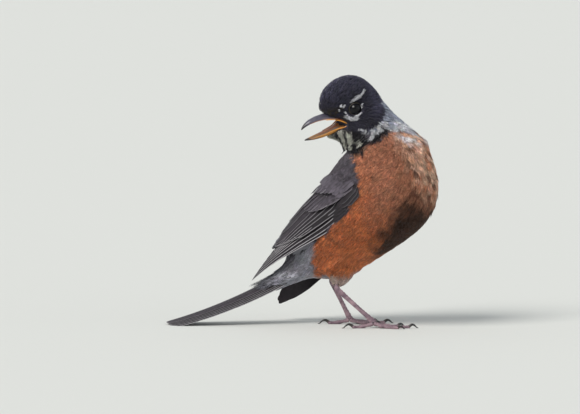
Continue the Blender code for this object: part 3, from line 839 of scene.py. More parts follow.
def near_line(x: Array, y: Array, line: Sequence[Tuple[float, float]], half: float) -> Array:
    """1 near a broken line in a plane, 0 beyond its half width."""
    return smooth(half * 1.25, half * 0.75, line_gap(x, y, line))


@dataclass
class Markings:
    """Where each colour of the plumage lies, by place on the body and head."""

    hood_floor: Tuple = (
        (-26, 0), (-22.5, -3.6), (-19.8, -7.6), (-15.6, -10.4), (-11, -12.8), (-6, -14), (0, -15),
        (4, -15.4), (6, -14), (9, -11.6), (14, -9),
    )
    malar: Tuple = ((7.8, -12.8), (6.6, -14.7), (5.6, -16.6), (5.1, -19), (5, -21.6), (5.6, -24.5))
    collar: Tuple = (
        (4.4, -19), (3.6, -20.8), (1, -20.8), (-1.6, -20.2), (-4.8, -18.9), (-8.4, -17.9), (-12, -16.6)
    )
    band: Tuple = (
        (2.6, -16.6), (0.9, -18.2), (-1.5, -16.9), (-4.5, -15.5), (-7, -14.9), (-10.2, -14.6), (-15, -13.8)
    )
    stroke: Tuple = ((3.4, -12.8), (2.3, -13.2), (0.6, -13.9))
    brow: Tuple = ((0.4, 4.7), (-1.4, 5), (-3.6, 5.8), (-5.6, 6.8))
    crescent: Tuple = ((5.6, -4.6), (4.2, -6), (2.6, -6.3), (1, -5.2), (-1, -3.9), (-3.2, -2), (-4.9, 0.2))
    front_edge: Tuple = (
        (-12, 8), (0, 12.6), (8.5, 18.6), (14.8, 21.4), (21.9, 22.9), (28.5, 24.1), (36.9, 25.2),
        (44, 25.6), (54, 26.5), (64, 35), (80, 46), (100, 50),
    )

    def __post_init__(self) -> None:
        """Keeps the guide surfaces of the wings."""
        self.wings = {side: WingSurface(side) for side in Side}

    def on_wing(self, points: Array) -> Array:
        """1 on the upper side of a folded wing, 0 on the body."""
        share = np.zeros(len(points))
        w = TRUNK.local(points)[:, 2]
        for side, wing in self.wings.items():
            a, angle = wing.angle_of(points)
            place, limit = np.array(self.front_edge, float).T
            ahead = smooth(0.8, -0.8, a - np.interp(angle, place, limit))
            low = np.interp(-a, (-37, -24, -8, 6, 19, 32, 46, 60), (31, 12, 1, -2, -1, 2, 8, 15))
            share = np.maximum(share, ahead * smooth(-1.5, 0.5, angle - low) * (w * side.sign > -4))
        return share

    def masks(self, points: Array) -> Dict[Pigments, Array]:
        """Share of each pigment, laid one over the other in this order."""
        a, v, w = TRUNK.local(points).T
        f, side, g = HEAD.local(points).T
        cloud = value_noise(points, 6.0, 3) - 0.5
        fine = value_noise(points, 2.2, 5) - 0.5
        strip = value_noise(np.stack([a * 0.25, v, w], -1), 2.0, 41)
        w = np.abs(w)
        near_head = smooth(
            46, 36, np.linalg.norm(np.stack([f, side, g + 6], -1), axis=1)
        ) * smooth(-30, -26, f)
        masks = {Pigments.BACK: np.ones(len(points))}
        masks[Pigments.RUMP] = smooth(-22, -38, a + cloud * 8) * smooth(-6, -14, v)
        border = np.interp(
            a, (-60, -40, -15, 0, 12, 20, 26, 31, 35, 38, 41, 45, 50),
            (-2, -2, -3, -6, -10, -16, -22, -20, -19, -17.6, -15.2, -12, -10)
        )
        neck = -11.0 + 0.75 * np.clip(17 - w, -6, 17)
        border = border + (np.maximum(neck, border) - border) * smooth(46, 54, a)
        front = smooth(-1.5, 1.5, v - border + cloud * 2.5 + fine * 2) * (1 - self.on_wing(points))
        masks[Pigments.BREAST] = front
        masks[Pigments.FLANK] = front * smooth(34, 0, a + 0.35 * v + cloud * 12)
        rough = smooth(49, 60, a + 0.55 * v + cloud * 7) * smooth(26, 17, w) * smooth(-9, -4, v)
        masks[Pigments.RUFF] = front * rough * smooth(0.32, 0.46, strip)
        frost = smooth(14, 3, v) * smooth(52, 56, a) * smooth(
            0.44, 0.58, value_noise(np.stack([a * 0.2, v, w], -1), 2.4, 53)
        )
        masks[Pigments.FROST] = front * rough * frost
        # Painted shade: dark streaks in the gaps of the ruffled plumage, at the side of the neck and low on
        # the breast.
        streaky = np.maximum(
            rough * 0.9, smooth(16, 30, v + cloud * 10) * smooth(-12, 4, a) * smooth(30, 22, w) * 0.7
        )
        masks[Pigments.UMBER] = front * streaky * smooth(
            0.66, 0.76, value_noise(np.stack([a * 0.2, v, w], -1), 1.8, 47)
        )
        # Painted shade: the lower breast and belly darkened where the bird's own shadow falls.
        shade = smooth(22, 32, v + cloud * 8) * smooth(42, 20, a + cloud * 8) * smooth(-28, -16, a)
        masks[Pigments.PAINTED_BELLY_SHADE] = front * shade
        nape = smooth(44, 54, a) * smooth(-1.0, 1.0, border - v + cloud * 3)
        nape = np.maximum(nape, smooth(26, 40, a) * smooth(-18, -26, v) * smooth(-19, -24, f))
        masks[Pigments.NAPE] = nape
        patch = nape * smooth(-16, -10, v + cloud * 4) * smooth(54, 57, a)
        masks[Pigments.WHITE] = patch * smooth(0.1, 0.28, value_noise(points, 2.6, 9))
        end = a + 1.23 * v + cloud * 4
        edge = np.interp(a, (-62, -53.8, -44.7, -37.8, -34), (5.0, 2.0, 0.2, -3.9, -6.0))
        vent = smooth(1.0, -1.0, v - edge + cloud * 2 + fine * 2) * smooth(-19, -13, v) * smooth(-30, -36, a)
        below = smooth(-40, -46, a - 0.25 * v + cloud * 2) * smooth(10, 6, w) * smooth(4, 9, v)
        masks[Pigments.VENT] = np.maximum(np.maximum(vent, smooth(-56, -60, a) * smooth(-19, -13, v)), below)
        heel = smooth(31.5, 28.5, points[:, 2] + cloud * 2) * smooth(-52, -46, end + 8)
        masks[Pigments.THIGH] = heel
        throat = near_head * smooth(-12.4, -13.6, g + cloud) * smooth(4.9, 6.3, f + 0.05 * (g + 16))
        throat = throat * smooth(-29.0, -26.5, g + 0.35 * (f - 9) + fine * 3)
        masks[Pigments.THROAT] = throat
        lines = np.sin(np.abs(side) * 1.0 + f * 0.3 + cloud * 1.6) * 0.5 + 0.5
        streak = throat * smooth(0.55, 0.8, lines) * smooth(17.5, 13.5, f)
        tips = throat * smooth(-22.5, -26.0, g + 0.35 * (f - 9)) * smooth(0.3, 0.5, lines)
        hood = smooth(-0.8, 0.8, g - np.interp(f, *np.array(self.hood_floor).T) + fine * 1.8 + cloud * 0.8)
        black = np.maximum(
            near_line(f, g + fine * 2, self.malar, 1.9), near_line(f, g + fine * 2, self.collar, 1.7)
        )
        masks[Pigments.STREAK] = np.maximum(np.maximum(streak, tips), black * near_head * (1 - front))
        masks[Pigments.HOOD] = hood * near_head
        # Painted sheen: the crown and the rear of the hood made lighter and bluer, as light falls on them.
        rear = smooth(
            -8, -17, f + 0.25 * g + cloud * 4
        ) * smooth(-10, -4, g) + smooth(6, 16, g + cloud * 7) * 0.6
        masks[Pigments.PAINTED_SHEEN] = hood * near_head * np.clip(rear, 0, 1) * 0.85
        lore = smooth(3.5, 6.5, f) * smooth(5.0, 1.0, g) * smooth(-8, -6, g)
        masks[Pigments.LORES] = near_head * lore * smooth(0.4, 0.7, value_noise(points, 1.6, 11))
        mottle = smooth(0.3, 0.48, value_noise(np.stack([f * 1.5, side, g * 0.7], -1), 1.7, 15))
        white = np.maximum(near_line(f, g, self.band, 1.9) * mottle, near_line(f, g, self.stroke, 0.65))
        ring = np.maximum(near_line(f, g, self.brow, 0.75), near_line(f, g, self.crescent, 0.75))
        white = np.maximum(white, ring)
        masks[Pigments.RIM_WHITE] = white * near_head
        return masks

    def colours(self, points: Array) -> Tuple[Array, Array]:
        """Colour at the middle and at the rim of a feather whose tip is at each point."""
        middle = np.zeros((len(points), 3))
        rim = np.zeros((len(points), 3))
        for pigment, mask in self.masks(points).items():
            share = np.clip(mask, 0, 1)[:, None]
            middle = middle * (1 - share) + np.array(pigment.value.middle) * share
            rim = rim * (1 - share) + np.array(pigment.value.rim) * share
        return middle, rim


# Contour feathers

TAIL_AIM = np.array((-90.8, 14.5, 15.0)) + SHIFT  # where the coverts of the tail point


class Lie:
    """The way the coat lies: from the bill over the head, down the neck, along the body."""

    neck_way = unit((0.5, -0.16, -0.85))
    tail_way = unit((-0.86, 0.02, -0.52))

    def raw(self, points: Array) -> Array:
        """The way before it is laid on the surface."""
        head = HEAD.local(points)
        from_bill = unit(points - HEAD.at(*BILL_ROOT))
        reach = np.linalg.norm(head - (-2.0, 0.0, 0.0), axis=1)
        on_head = smooth(29, 17, reach)[:, None]
        a = TRUNK.local(points)[:, 0]
        on_body = smooth(60, 42, a)[:, None]
        way = self.neck_way * (1 - on_body) - TRUNK.rows[0] * on_body
        behind = smooth(-46, -60, a)[:, None]
        way = way * (1 - behind) + self.tail_way * behind
        low = smooth(38, 31, points[:, 2]) * smooth(-62, -50, a)
        way = way + np.array((0.2, 0.0, -1.4)) * low[:, None]
        return unit(way * (1 - on_head) + from_bill * on_head)

    def on(self, form: Form, points: Array) -> Array:
        """The way along the form's surface."""
        way, normal = self.raw(points), form.normal(points)
        return unit(way - normal * (way * normal).sum(1, keepdims=True))


class Hanging(Lie):
    """The lie of the long tufts at the end of the throat: down over the breast."""

    def raw(self, points: Array) -> Array:
        """The same way everywhere."""
        return np.tile(unit(np.array((0.38, -0.22, -0.9))), (len(points), 1))


@dataclass
class Tract:
    """Feathers of one part of the body, all alike but for their size and colour."""

    name: str
    inside: Callable[[Array], Array]
    spacing: float
    length: float
    width: float
    slot: str
    strands: int = 30  # loose barbs a feather
    barb: float = 0.2  # their thickness
    rise: float = 0.15
    ruffle: float = 0.1
    camber: float = 0.5
    wander: float = 8.0
    fray: float = 0.35  # how far loose barbs pass the vane
    seed: int = 1
    size: Optional[Callable[[Array], Array]] = None
    core: float = 0.62  # share of the feather that is closed vane
    vary: float = 0.08


@dataclass
class Coat:
    """Lays tracts of feathers over the form."""

    form: Form
    lie: Lie
    skin: Skin
    markings: Markings
    stations: int = 6
    crowd: float = 6.0  # places tried for each that a tract can hold
    root: float = 0.92  # how deep in the coat a feather starts
    shares: Tuple = (0.0, 0.45, 0.75, 0.92, 1.0)  # where a vane's rows of points lie
    cross: Tuple = (-1.0, 0.0, 1.0)  # the points of a row
    gap: float = 0.22  # between barb lines
    slant: float = 1.9  # how far barbs run ahead for each millimetre across

    def scatter(self, tract: Tract) -> Tuple[Array, Array]:
        """Roots spread evenly over a tract, and each root's size against the tract's own."""
        rng = np.random.default_rng(tract.seed)
        tri = self.form.triangles
        tri = tri[tract.inside(tri.mean(1)) > 0.02]
        area = np.linalg.norm(np.cross(tri[:, 1] - tri[:, 0], tri[:, 2] - tri[:, 0]), axis=1) / 2
        middle = tri.mean(1)
        scale = tract.size(middle) if tract.size else np.ones(len(middle))
        weight = area / scale**2
        tries = int(self.crowd * weight.sum() / tract.spacing**2)
        pick = rng.choice(len(tri), tries, p=weight / weight.sum())
        mix = rng.random((tries, 2))
        flip = mix.sum(1) > 1
        mix[flip] = 1 - mix[flip]
        pool = tri[pick]
        pool = pool[:, 0] + (pool[:, 1] - pool[:, 0]) * mix[:, :1] + (pool[:, 2] - pool[:, 0]) * mix[:, 1:]
        keep = rng.random(tries) < tract.inside(pool)
        pool = pool[keep]
        scale = tract.size(pool) if tract.size else np.ones(len(pool))
        tree = KDTree(len(pool))
        for k, point in enumerate(pool.tolist()):
            tree.insert(point, k)
        tree.balance()
        gone = np.zeros(len(pool), bool)
        chosen = []
        for k, point in enumerate(pool.tolist()):
            if gone[k]:
                continue
            chosen.append(k)
            for _, other, _ in tree.find_range(point, tract.spacing * scale[k]):
                gone[other] = True
        return pool[chosen], scale[chosen]

    def spines(self, roots: Array, tract: Tract, length: Array, rng: np.random.Generator) -> Tuple:
        """Each feather's middle line, from the skin up to the outline.

        Args:
            roots: Roots on the outline.
            tract: The tract.
            length: Each feather's length.
            rng: Source of small differences.

        Returns:
            Points, normals and sideways directions by station.
        """
        count = len(roots)
        turn = np.radians(rng.normal(0, tract.wander, count))
        lift = tract.rise + np.abs(rng.normal(0, 1, count)) * tract.ruffle
        depth = self.skin.depth_at(roots) * self.root
        point = self.form.settle(roots, -depth)
        points, normals, sides = [], [], []
        for k in range(self.stations):
            share = k / (self.stations - 1)
            normal = self.form.normal(point)
            way = self.lie.on(self.form, point)
            side = np.cross(normal, way)
            bend = turn * (0.35 + 0.65 * share)
            way = way * np.cos(bend)[:, None] + side * np.sin(bend)[:, None]
            side = np.cross(normal, way)
            points.append(point)
            normals.append(normal)
            sides.append(side)
            following = min(1.0, (k + 1) / (self.stations - 1))
            height = -depth + (depth + lift) * (1 - (1 - following) ** 1.5)
            step = (length / (self.stations - 1))[:, None]
            past = smooth(0.2, 0.6, normal @ Lie.tail_way) * smooth(-58, -64, TRUNK.local(point)[:, 0])
            past = past[:, None]
            ahead = unit(way * (1 - past) + unit(TAIL_AIM - point) * past)
            laid = self.form.settle(point + ahead * step, height)
            point = laid * (1 - past) + (point + ahead * step) * past
        return np.stack(points, 1), np.stack(normals, 1), np.stack(sides, 1)

    @staticmethod
    def along(table: Array, share: Array) -> Array:
        """Values between stations at shares of the length, (n, m, 3)."""
        place = np.clip(share, 0, 1) * (table.shape[1] - 1)
        low = np.minimum(place.astype(int), table.shape[1] - 2)
        part = (place - low)[..., None]
        row = np.arange(len(table))[:, None]
        return table[row, low] * (1 - part) + table[row, low + 1] * part

    def unwrap(self, roots: Array) -> Array:
        """Places of roots on an unwrap of the skin: the head over the body, each rolled out."""
        head = HEAD.local(roots)
        on_head = np.linalg.norm(head - (-2.0, 0.0, -3.0), axis=1) < 23.0
        trunk = TRUNK.local(roots)
        round_body = np.arctan2(trunk[:, 2], trunk[:, 1]) / (2 * math.pi) + 0.5
        round_head = np.arctan2(head[:, 1], head[:, 2]) / (2 * math.pi) + 0.5
        across = np.where(on_head, round_head, round_body)
        body_up = 0.01 + 0.6 * np.clip((trunk[:, 0] + 100) / 170, 0, 1)
        head_up = 0.64 + 0.34 * np.clip((head[:, 0] + 28) / 56, 0, 1)
        return np.stack([0.004 + 0.99 * across, np.where(on_head, head_up, body_up)], 1)

    def lay(self, bed: Tuple, share: Array, across: Array, lift: Array) -> Array:
        """Points on feathers, (n, m, 3).

        Args:
            bed: Spine points, normals, sides and lengths.
            share: Shares of the length, (n, m); over 1 is past the tip.
            across: Distance sideways.
            lift: Height over the feather's own spine.

        Returns:
            The points.
        """
        points, normals, sides, length = bed
        held = np.minimum(share, 1.0)
        spine, side = self.along(points, held), self.along(sides, held)
        way = np.cross(side, self.along(normals, held))
        over = np.maximum(share - 1.0, 0.0) * length[:, None]
        place = spine + side * across[..., None] + way * over[..., None]
        height = self.form.read(self.form.grid, spine.reshape(-1, 3)) + lift.ravel()
        return self.form.settle(place.reshape(-1, 3), height).reshape(place.shape)

    @staticmethod
    def half_width(share: Array) -> Array:
        """Half width of a vane at shares of its length, 1 at its widest."""
        late = np.clip((share - 0.55) / 0.47, 0, 1) ** 2.3
        return (0.32 + 0.68 * smooth(0, 0.55, share)) * np.sqrt(np.maximum(1 - late, 0.01))

    def faces(self, count: int, many: int) -> Array:
        """Triangles of so many closed vanes and, after them, of so many barbs on each."""
        rows, columns = len(self.shares), len(self.cross)
        grid = np.arange(rows * columns).reshape(rows, columns)
        quads = np.stack([grid[:-1, :-1], grid[1:, :-1], grid[1:, 1:], grid[:-1, 1:]], -1).reshape(-1, 4)
        under = np.stack([grid[:-1, 0], grid[:-1, -1], grid[1:, -1], grid[1:, 0]], -1)
        both = np.concatenate([quads, under])
        caps = [(grid[0, 0], grid[0, k], grid[0, k + 1]) for k in range(1, columns - 1)]
        caps += [(grid[-1, 0], grid[-1, k + 1], grid[-1, k]) for k in range(1, columns - 1)]
        pattern = np.concatenate([both[:, [0, 1, 2]], both[:, [0, 2, 3]], np.array(caps)])[:, ::-1]
        vanes = (np.arange(count)[:, None, None] * rows * columns + pattern).reshape(-1, 3)
        spike = np.array(((0, 1, 2), (1, 3, 2), (3, 0, 2), (0, 3, 1)))[:, ::-1]
        spikes = (count * rows * columns + np.arange(count * many)[:, None, None] * 4 + spike).reshape(-1, 3)
        return np.concatenate([vanes, spikes])

    def grow(
        self,
        tract: Tract,
        material: Material,
        roots: Optional[Array] = None,
        scale: Optional[Array] = None,
        colours: Optional[Tuple[Array, Array]] = None,
    ) -> Piece:
        """Makes a tract's feathers: a thin closed vane each, with loose barbs over its rim.

        Args:
            tract: The tract.
            material: The plumage finish.
            roots: Roots, if they aren't to be scattered.
            scale: Their sizes.
            colours: Middle and rim colours, if not by the markings.

        Returns:
            The piece.
        """
        if roots is None:
            roots, scale = self.scatter(tract)
        rng = np.random.default_rng(tract.seed + 100)
        count, many = len(roots), tract.strands
        length = tract.length * scale * rng.uniform(0.86, 1.14, count)
        half = 0.5 * tract.width * scale * rng.uniform(0.88, 1.1, count)
        wide, long = half[:, None], length[:, None]
        bed = (*self.spines(roots, tract, length, rng), length)
        middle, rim = colours or self.markings.colours(bed[0][:, -1])
        shade = rng.normal(1.0, tract.vary, (count, 1, 1)) * rng.normal(1.0, 0.02, (count, 1, 3))
        centre = self.unwrap(roots)[:, None]
        along = np.tile(np.repeat(self.shares, len(self.cross)), (count, 1))
        over = np.tile(np.tile(self.cross, len(self.shares)), (count, 1))
        across = over * self.half_width(along) * wide * tract.core
        along = along * (0.55 + 0.45 * tract.core)
        arch = 0.04 * wide * (1 - over**2) - tract.camber * (across / wide) ** 2 - 0.6 * tract.barb
        vane = self.lay(bed, along, across, arch)
        edge = np.clip(np.maximum(np.abs(over) ** 2.5 * 0.75, along**5), 0, 1)[..., None]
        # Painted shade: each vane darker towards its root, partly for its grey down and partly for the shade
        # of the feathers over it.
        base = (0.62 + 0.38 * smooth(0.35, 0.85, along))[..., None]
        tone = middle[:, None] * (1 - edge) * base + rim[:, None] * edge
        # Painted shade: the closed vane darkened, for the shade of the loose barbs lying over it.
        tone = tone * shade * (0.45 + 0.55 * tract.core)
        number = np.arange(count)[:, None] * 3.7  # sets each feather's noise apart
        line = (along * long - np.abs(across) * self.slant) / self.gap
        barb = np.stack([line, across * 0.5, number + over * 0], -1)
        first = rng.uniform(0.18, 0.78, (count, many))
        lean = np.linspace(-1, 1, many)[None] * rng.uniform(0.8, 1.0, (count, many))
        start = lean * self.half_width(first) * wide * 0.85
        reach = long * rng.uniform(0.26, 0.46, (count, many))
        angle = np.radians(lean * 13 + rng.normal(0, 5, (count, many)))
        rounding = 1.12 - 0.22 * lean**2 + 0.08 * rng.random((count, many))
        last = np.minimum(first + reach * np.cos(angle) / long, rounding)
        end = start + np.sin(angle) * reach
        limit = self.half_width(np.minimum(last, 0.97)) * wide + tract.fray * wide
        end = np.clip(end, -limit, limit)
        drop = tract.camber * (start / wide) ** 2
        drop_end = tract.camber * np.minimum((end / wide) ** 2, 1.6)
        float_up = 0.03 + np.abs(rng.normal(0, 1, (count, many))) * tract.ruffle * 0.5
        thick = tract.barb * rng.uniform(0.7, 1.2, (count, many)) * np.clip(scale, 0.5, 1)[:, None]
        lower = self.lay(bed, first, start - thick / 2, -drop - thick * 0.3)
        upper = self.lay(bed, first, start + thick / 2, -drop - thick * 0.3)
        ridge = self.lay(bed, first + 0.02, start, thick * 0.8 - drop)
        tip = self.lay(bed, last, end, float_up - drop_end)
        strand = np.stack([lower, upper, ridge, tip], 2)
        touch = rng.uniform(0.74, 1.26, (count, many, 1))
        outer = np.clip(0.35 + np.abs(lean) * 0.4 + last * 0.35, 0, 1)[..., None]
        root_tone = (middle[:, None] * 0.85 + rim[:, None] * 0.15) * touch * shade
        tip_tone = (middle[:, None] * (1 - outer) + rim[:, None] * outer) * touch * shade
        strand_tone = np.stack([root_tone, root_tone, root_tone, tip_tone], 2)
        own = rng.uniform(0, 90, (count, many, 1, 1)) + np.zeros((count, many, 4, 3))
        spot = np.stack([across / (2 * wide), along - 0.5], -1) * PATCH + centre
        foot = np.stack([start, first * long], -1)
        ends = np.stack([foot] * 3 + [np.stack([end, last * long], -1)], 2)
        ends = ends / np.stack([2 * half, length], -1)[:, None, None]
        spot_strand = (ends - (0.0, 0.5)) * PATCH + centre[:, :, None]
        faces = self.faces(count, many)

        def flat(first_part: Array, second_part: Array) -> Array:
            return np.concatenate([part.reshape(-1, part.shape[-1]) for part in (first_part, second_part)])

        obj = Bench.array_mesh(tract.name, flat(vane, strand), faces)
        Bench.bake_map(obj, flat(spot, spot_strand).clip(0.0, 1.0), faces)
        Bench.tint(obj, flat(tone, strand_tone))
        Bench.store(obj, "Barb", "FLOAT_VECTOR", "vector", flat(barb, own))
        LOG.info("%s: %d feathers", tract.name, count)
        return Bench.hand_over(obj, material, tract.slot)


# Wing and tail feathers


@dataclass
class WingSurface:
    """The guide surface that a folded wing's feathers lie on. The left wing hangs lower."""

    side: Side
    guide: Tuple = (
        (-95, -12, 19.5, 21.5),
        (-80, -11, 21, 23.5),
        (-60, -8.5, 24, 25.5),
        (-40, -5, 27.5, 27.5),
        (-20, -0.5, 31, 29.5),
        (0, 3, 34, 31),
        (20, 3.6, 34.6, 31),
        (45, 2, 26, 26),
    )
    droop: float = 50.0
    tuck: float = 10.0
    reach: float = 7.0

    def hang(self, along: Array) -> Array:
        """How far the left wing hangs at places along the back, 0 to 1."""
        return smooth(0.0, 82.0, -along) if self.side is Side.LEFT else np.zeros_like(along)

    def at(self, along: Array, angle: Array, lift: Array) -> Array:
        """Points by place along the back, degrees up from the flank and lift."""
        hang = self.hang(along)
        middle, depth, width = np.moveaxis(rows_at(self.guide, along), -1, 0)
        width = width - self.tuck * hang
        turn = np.radians(angle - self.droop * hang)
        down = middle - np.sin(turn) * (depth + lift)
        out = np.cos(turn) * (width + lift) * self.side.sign
        return TRUNK.at(along - self.reach * hang, down, out)

    def angle_of(self, points: Array) -> Tuple[Array, Array]:
        """Place along the back and degrees up from the flank, as if the wing hung level."""
        a, v, w = TRUNK.local(points).T
        middle, depth, width = np.moveaxis(rows_at(self.guide, a), -1, 0)
        angle = np.degrees(np.arctan2(-(v - middle) / depth, w * self.side.sign / width))
        return a, angle + self.droop * self.hang(a)


@dataclass(frozen=True)
class Vane:
    """One flight feather or covert, by its root, middle and tip on the guide surface."""

    path: Tuple[Tuple[float, float], Tuple[float, float], Tuple[float, float]]
    width: float
    outer: float  # share of the width on the leading side
    lift: Tuple[float, float]
    tilt: float  # how much lower the trailing edge lies
    tint: Colour
    rim: float = 1.0
    round_from: float = 0.72
    sharp: float = 1.7
    thick: float = 0.16


@dataclass
class VaneBuilder:
    """Builds closed vanes with a shaft on any surface and joins them to one piece."""

    surface: Callable[[Array, Array, Array], Array]
    degrees: Callable[[Array], Array]
    steps: int = 22
    seed: int = 5
    points: List[Array] = field(default_factory=list)
    faces: List[Array] = field(default_factory=list)
    numbers: Dict[str, List[Array]] = field(default_factory=dict)
    tints: List[Array] = field(default_factory=list)
    places: List[Array] = field(default_factory=list)

    def half_width(self, vane: Vane, share: Array) -> Array:
        """Share of the full width along a vane: a narrow root and a round or sharp tip."""
        root = np.clip(share / 0.16, 0.12, 1.0) ** 0.6
        late = np.clip((share - vane.round_from) / (1 - vane.round_from), 0, 1)
        return root * np.maximum(1 - late**vane.sharp, 0.0) ** (1 / 1.9) + 0.004

    def add(self, vane: Vane, index: int, count: int) -> None:
        """Adds one vane, which has this number in a piece of so many."""
        rng = np.random.default_rng(self.seed * 1000 + index)
        share = 1 - (1 - np.linspace(0, 1, self.steps)) ** 1.6
        root, mid, tip = (np.array(p, float) for p in vane.path)
        weights = ((1 - share) * (1 - 2 * share), 4 * share * (1 - share), share * (2 * share - 1))
        line = sum(w[:, None] * p for w, p in zip(weights, (root, mid, tip)))
        way = np.gradient(line, axis=0)
        scale = self.degrees(line[:, 0])
        way = unit(np.stack([way[:, 0], way[:, 1] / scale], 1))
        width = vane.width * self.half_width(vane, share)
        outer, inner = width * vane.outer, width * (1 - vane.outer)
        brim = np.minimum(0.9, outer * 0.8)
        rows = np.stack(
            [-outer, -outer + brim, -outer * 0.45, -np.minimum(0.28, outer * 0.3), outer * 0,
             np.minimum(0.28, inner * 0.3), inner * 0.4, inner - np.minimum(0.8, inner * 0.4), inner], 1)
        ragged = rng.normal(0, 0.05, rows.shape) * (np.arange(rows.shape[1]) % 8 == 0)
        rows = rows + ragged * np.minimum(width, 3)[:, None] * 0.35
        along = line[:, :1] + way[:, 1:] * rows
        across = line[:, 1:] - way[:, :1] * rows * scale[:, None]
        lift = vane.lift[0] + (vane.lift[1] - vane.lift[0]) * smooth(0, 0.7, share)
        slope = (rows + outer[:, None]) / vane.width * vane.tilt
        shaft = np.exp(-((rows / 0.3) ** 2)) * 0.16 * (1 - share[:, None] * 0.6)
        cup = -0.35 * (rows / vane.width) ** 2 * vane.width * 0.25
        height = lift[:, None] - slope + shaft + cup
        flat = [x.ravel() for x in (along, across, height)]
        top = self.surface(*flat)
        low = self.surface(flat[0], flat[1], flat[2] - vane.thick)
        m = rows.shape[1]
        base = sum(len(p) for p in self.points)
        grid = np.arange(self.steps * m).reshape(self.steps, m)
        n = self.steps * m
        a, b, c, d = grid[:-1, :-1], grid[:-1, 1:], grid[1:, 1:], grid[1:, :-1]
        quads = [np.stack([a, b, c, d], -1).reshape(-1, 4), np.stack([d, c, b, a], -1).reshape(-1, 4) + n]
        loop = np.concatenate([grid[0], grid[1:, -1], grid[-1, -2::-1], grid[-2:0:-1, 0]])
        following = np.roll(loop, -1)
        quads.append(np.stack([following, loop, loop + n, following + n], -1))
        self.faces.append(np.concatenate(quads) + base)
        self.points += [top, low]
        run = share[:, None] * abs(tip[0] - root[0]) + rows * 0
        edge = np.zeros(rows.shape)
        edge[:, 0] = 1.0
        edge[:, -1] = 0.55
        edge = np.maximum(edge, smooth(0.975, 1.0, share)[:, None])
        for name, value in (("Rim", edge), ("Web", rows), ("Run", run)):
            below = value * (0.2 if name == "Rim" else 1.0)
            self.numbers.setdefault(name, []).append(np.concatenate([value.ravel(), below.ravel()]))
        tint = np.array(vane.tint) * rng.uniform(0.86, 1.14)
        inner_dark = 1.0 - 0.35 * smooth(0.0, 0.5, rows / vane.width)
        shade = (inner_dark * (0.8 + 0.2 * share[:, None])).ravel()
        full = np.concatenate([tint * shade[:, None], np.full((shade.size, 1), vane.rim)], 1)
        self.tints.append(np.tile(full, (2, 1)))
        column = (index + 0.5 + 0.8 * (rows / vane.width - 0.3)) / count
        flat_map = np.stack([column, 0.02 + 0.46 * share[:, None] + rows * 0], -1).reshape(-1, 2)
        self.places.append(np.concatenate([flat_map, flat_map + (0.0, 0.49)]).clip(0, 1))

    def join(self, name: str) -> Piece:
        """The vanes as one piece."""
        faces = np.concatenate(self.faces)
        obj = Bench.array_mesh(name, np.concatenate(self.points), faces)
        Bench.bake_map(obj, np.concatenate(self.places), faces)
        Bench.tint(obj, np.concatenate(self.tints))
        for key, values in self.numbers.items():
            Bench.number(obj, key, np.concatenate(values))
        Bench.outward(obj)
        bpy.ops.object.shade_smooth_by_angle(angle=math.radians(50))
        return obj


BLACKISH: Colour = (0.018, 0.014, 0.018)
UMBER: Colour = (0.036, 0.029, 0.036)
SLATE: Colour = (0.078, 0.067, 0.082)
ASH: Colour = (0.095, 0.083, 0.102)


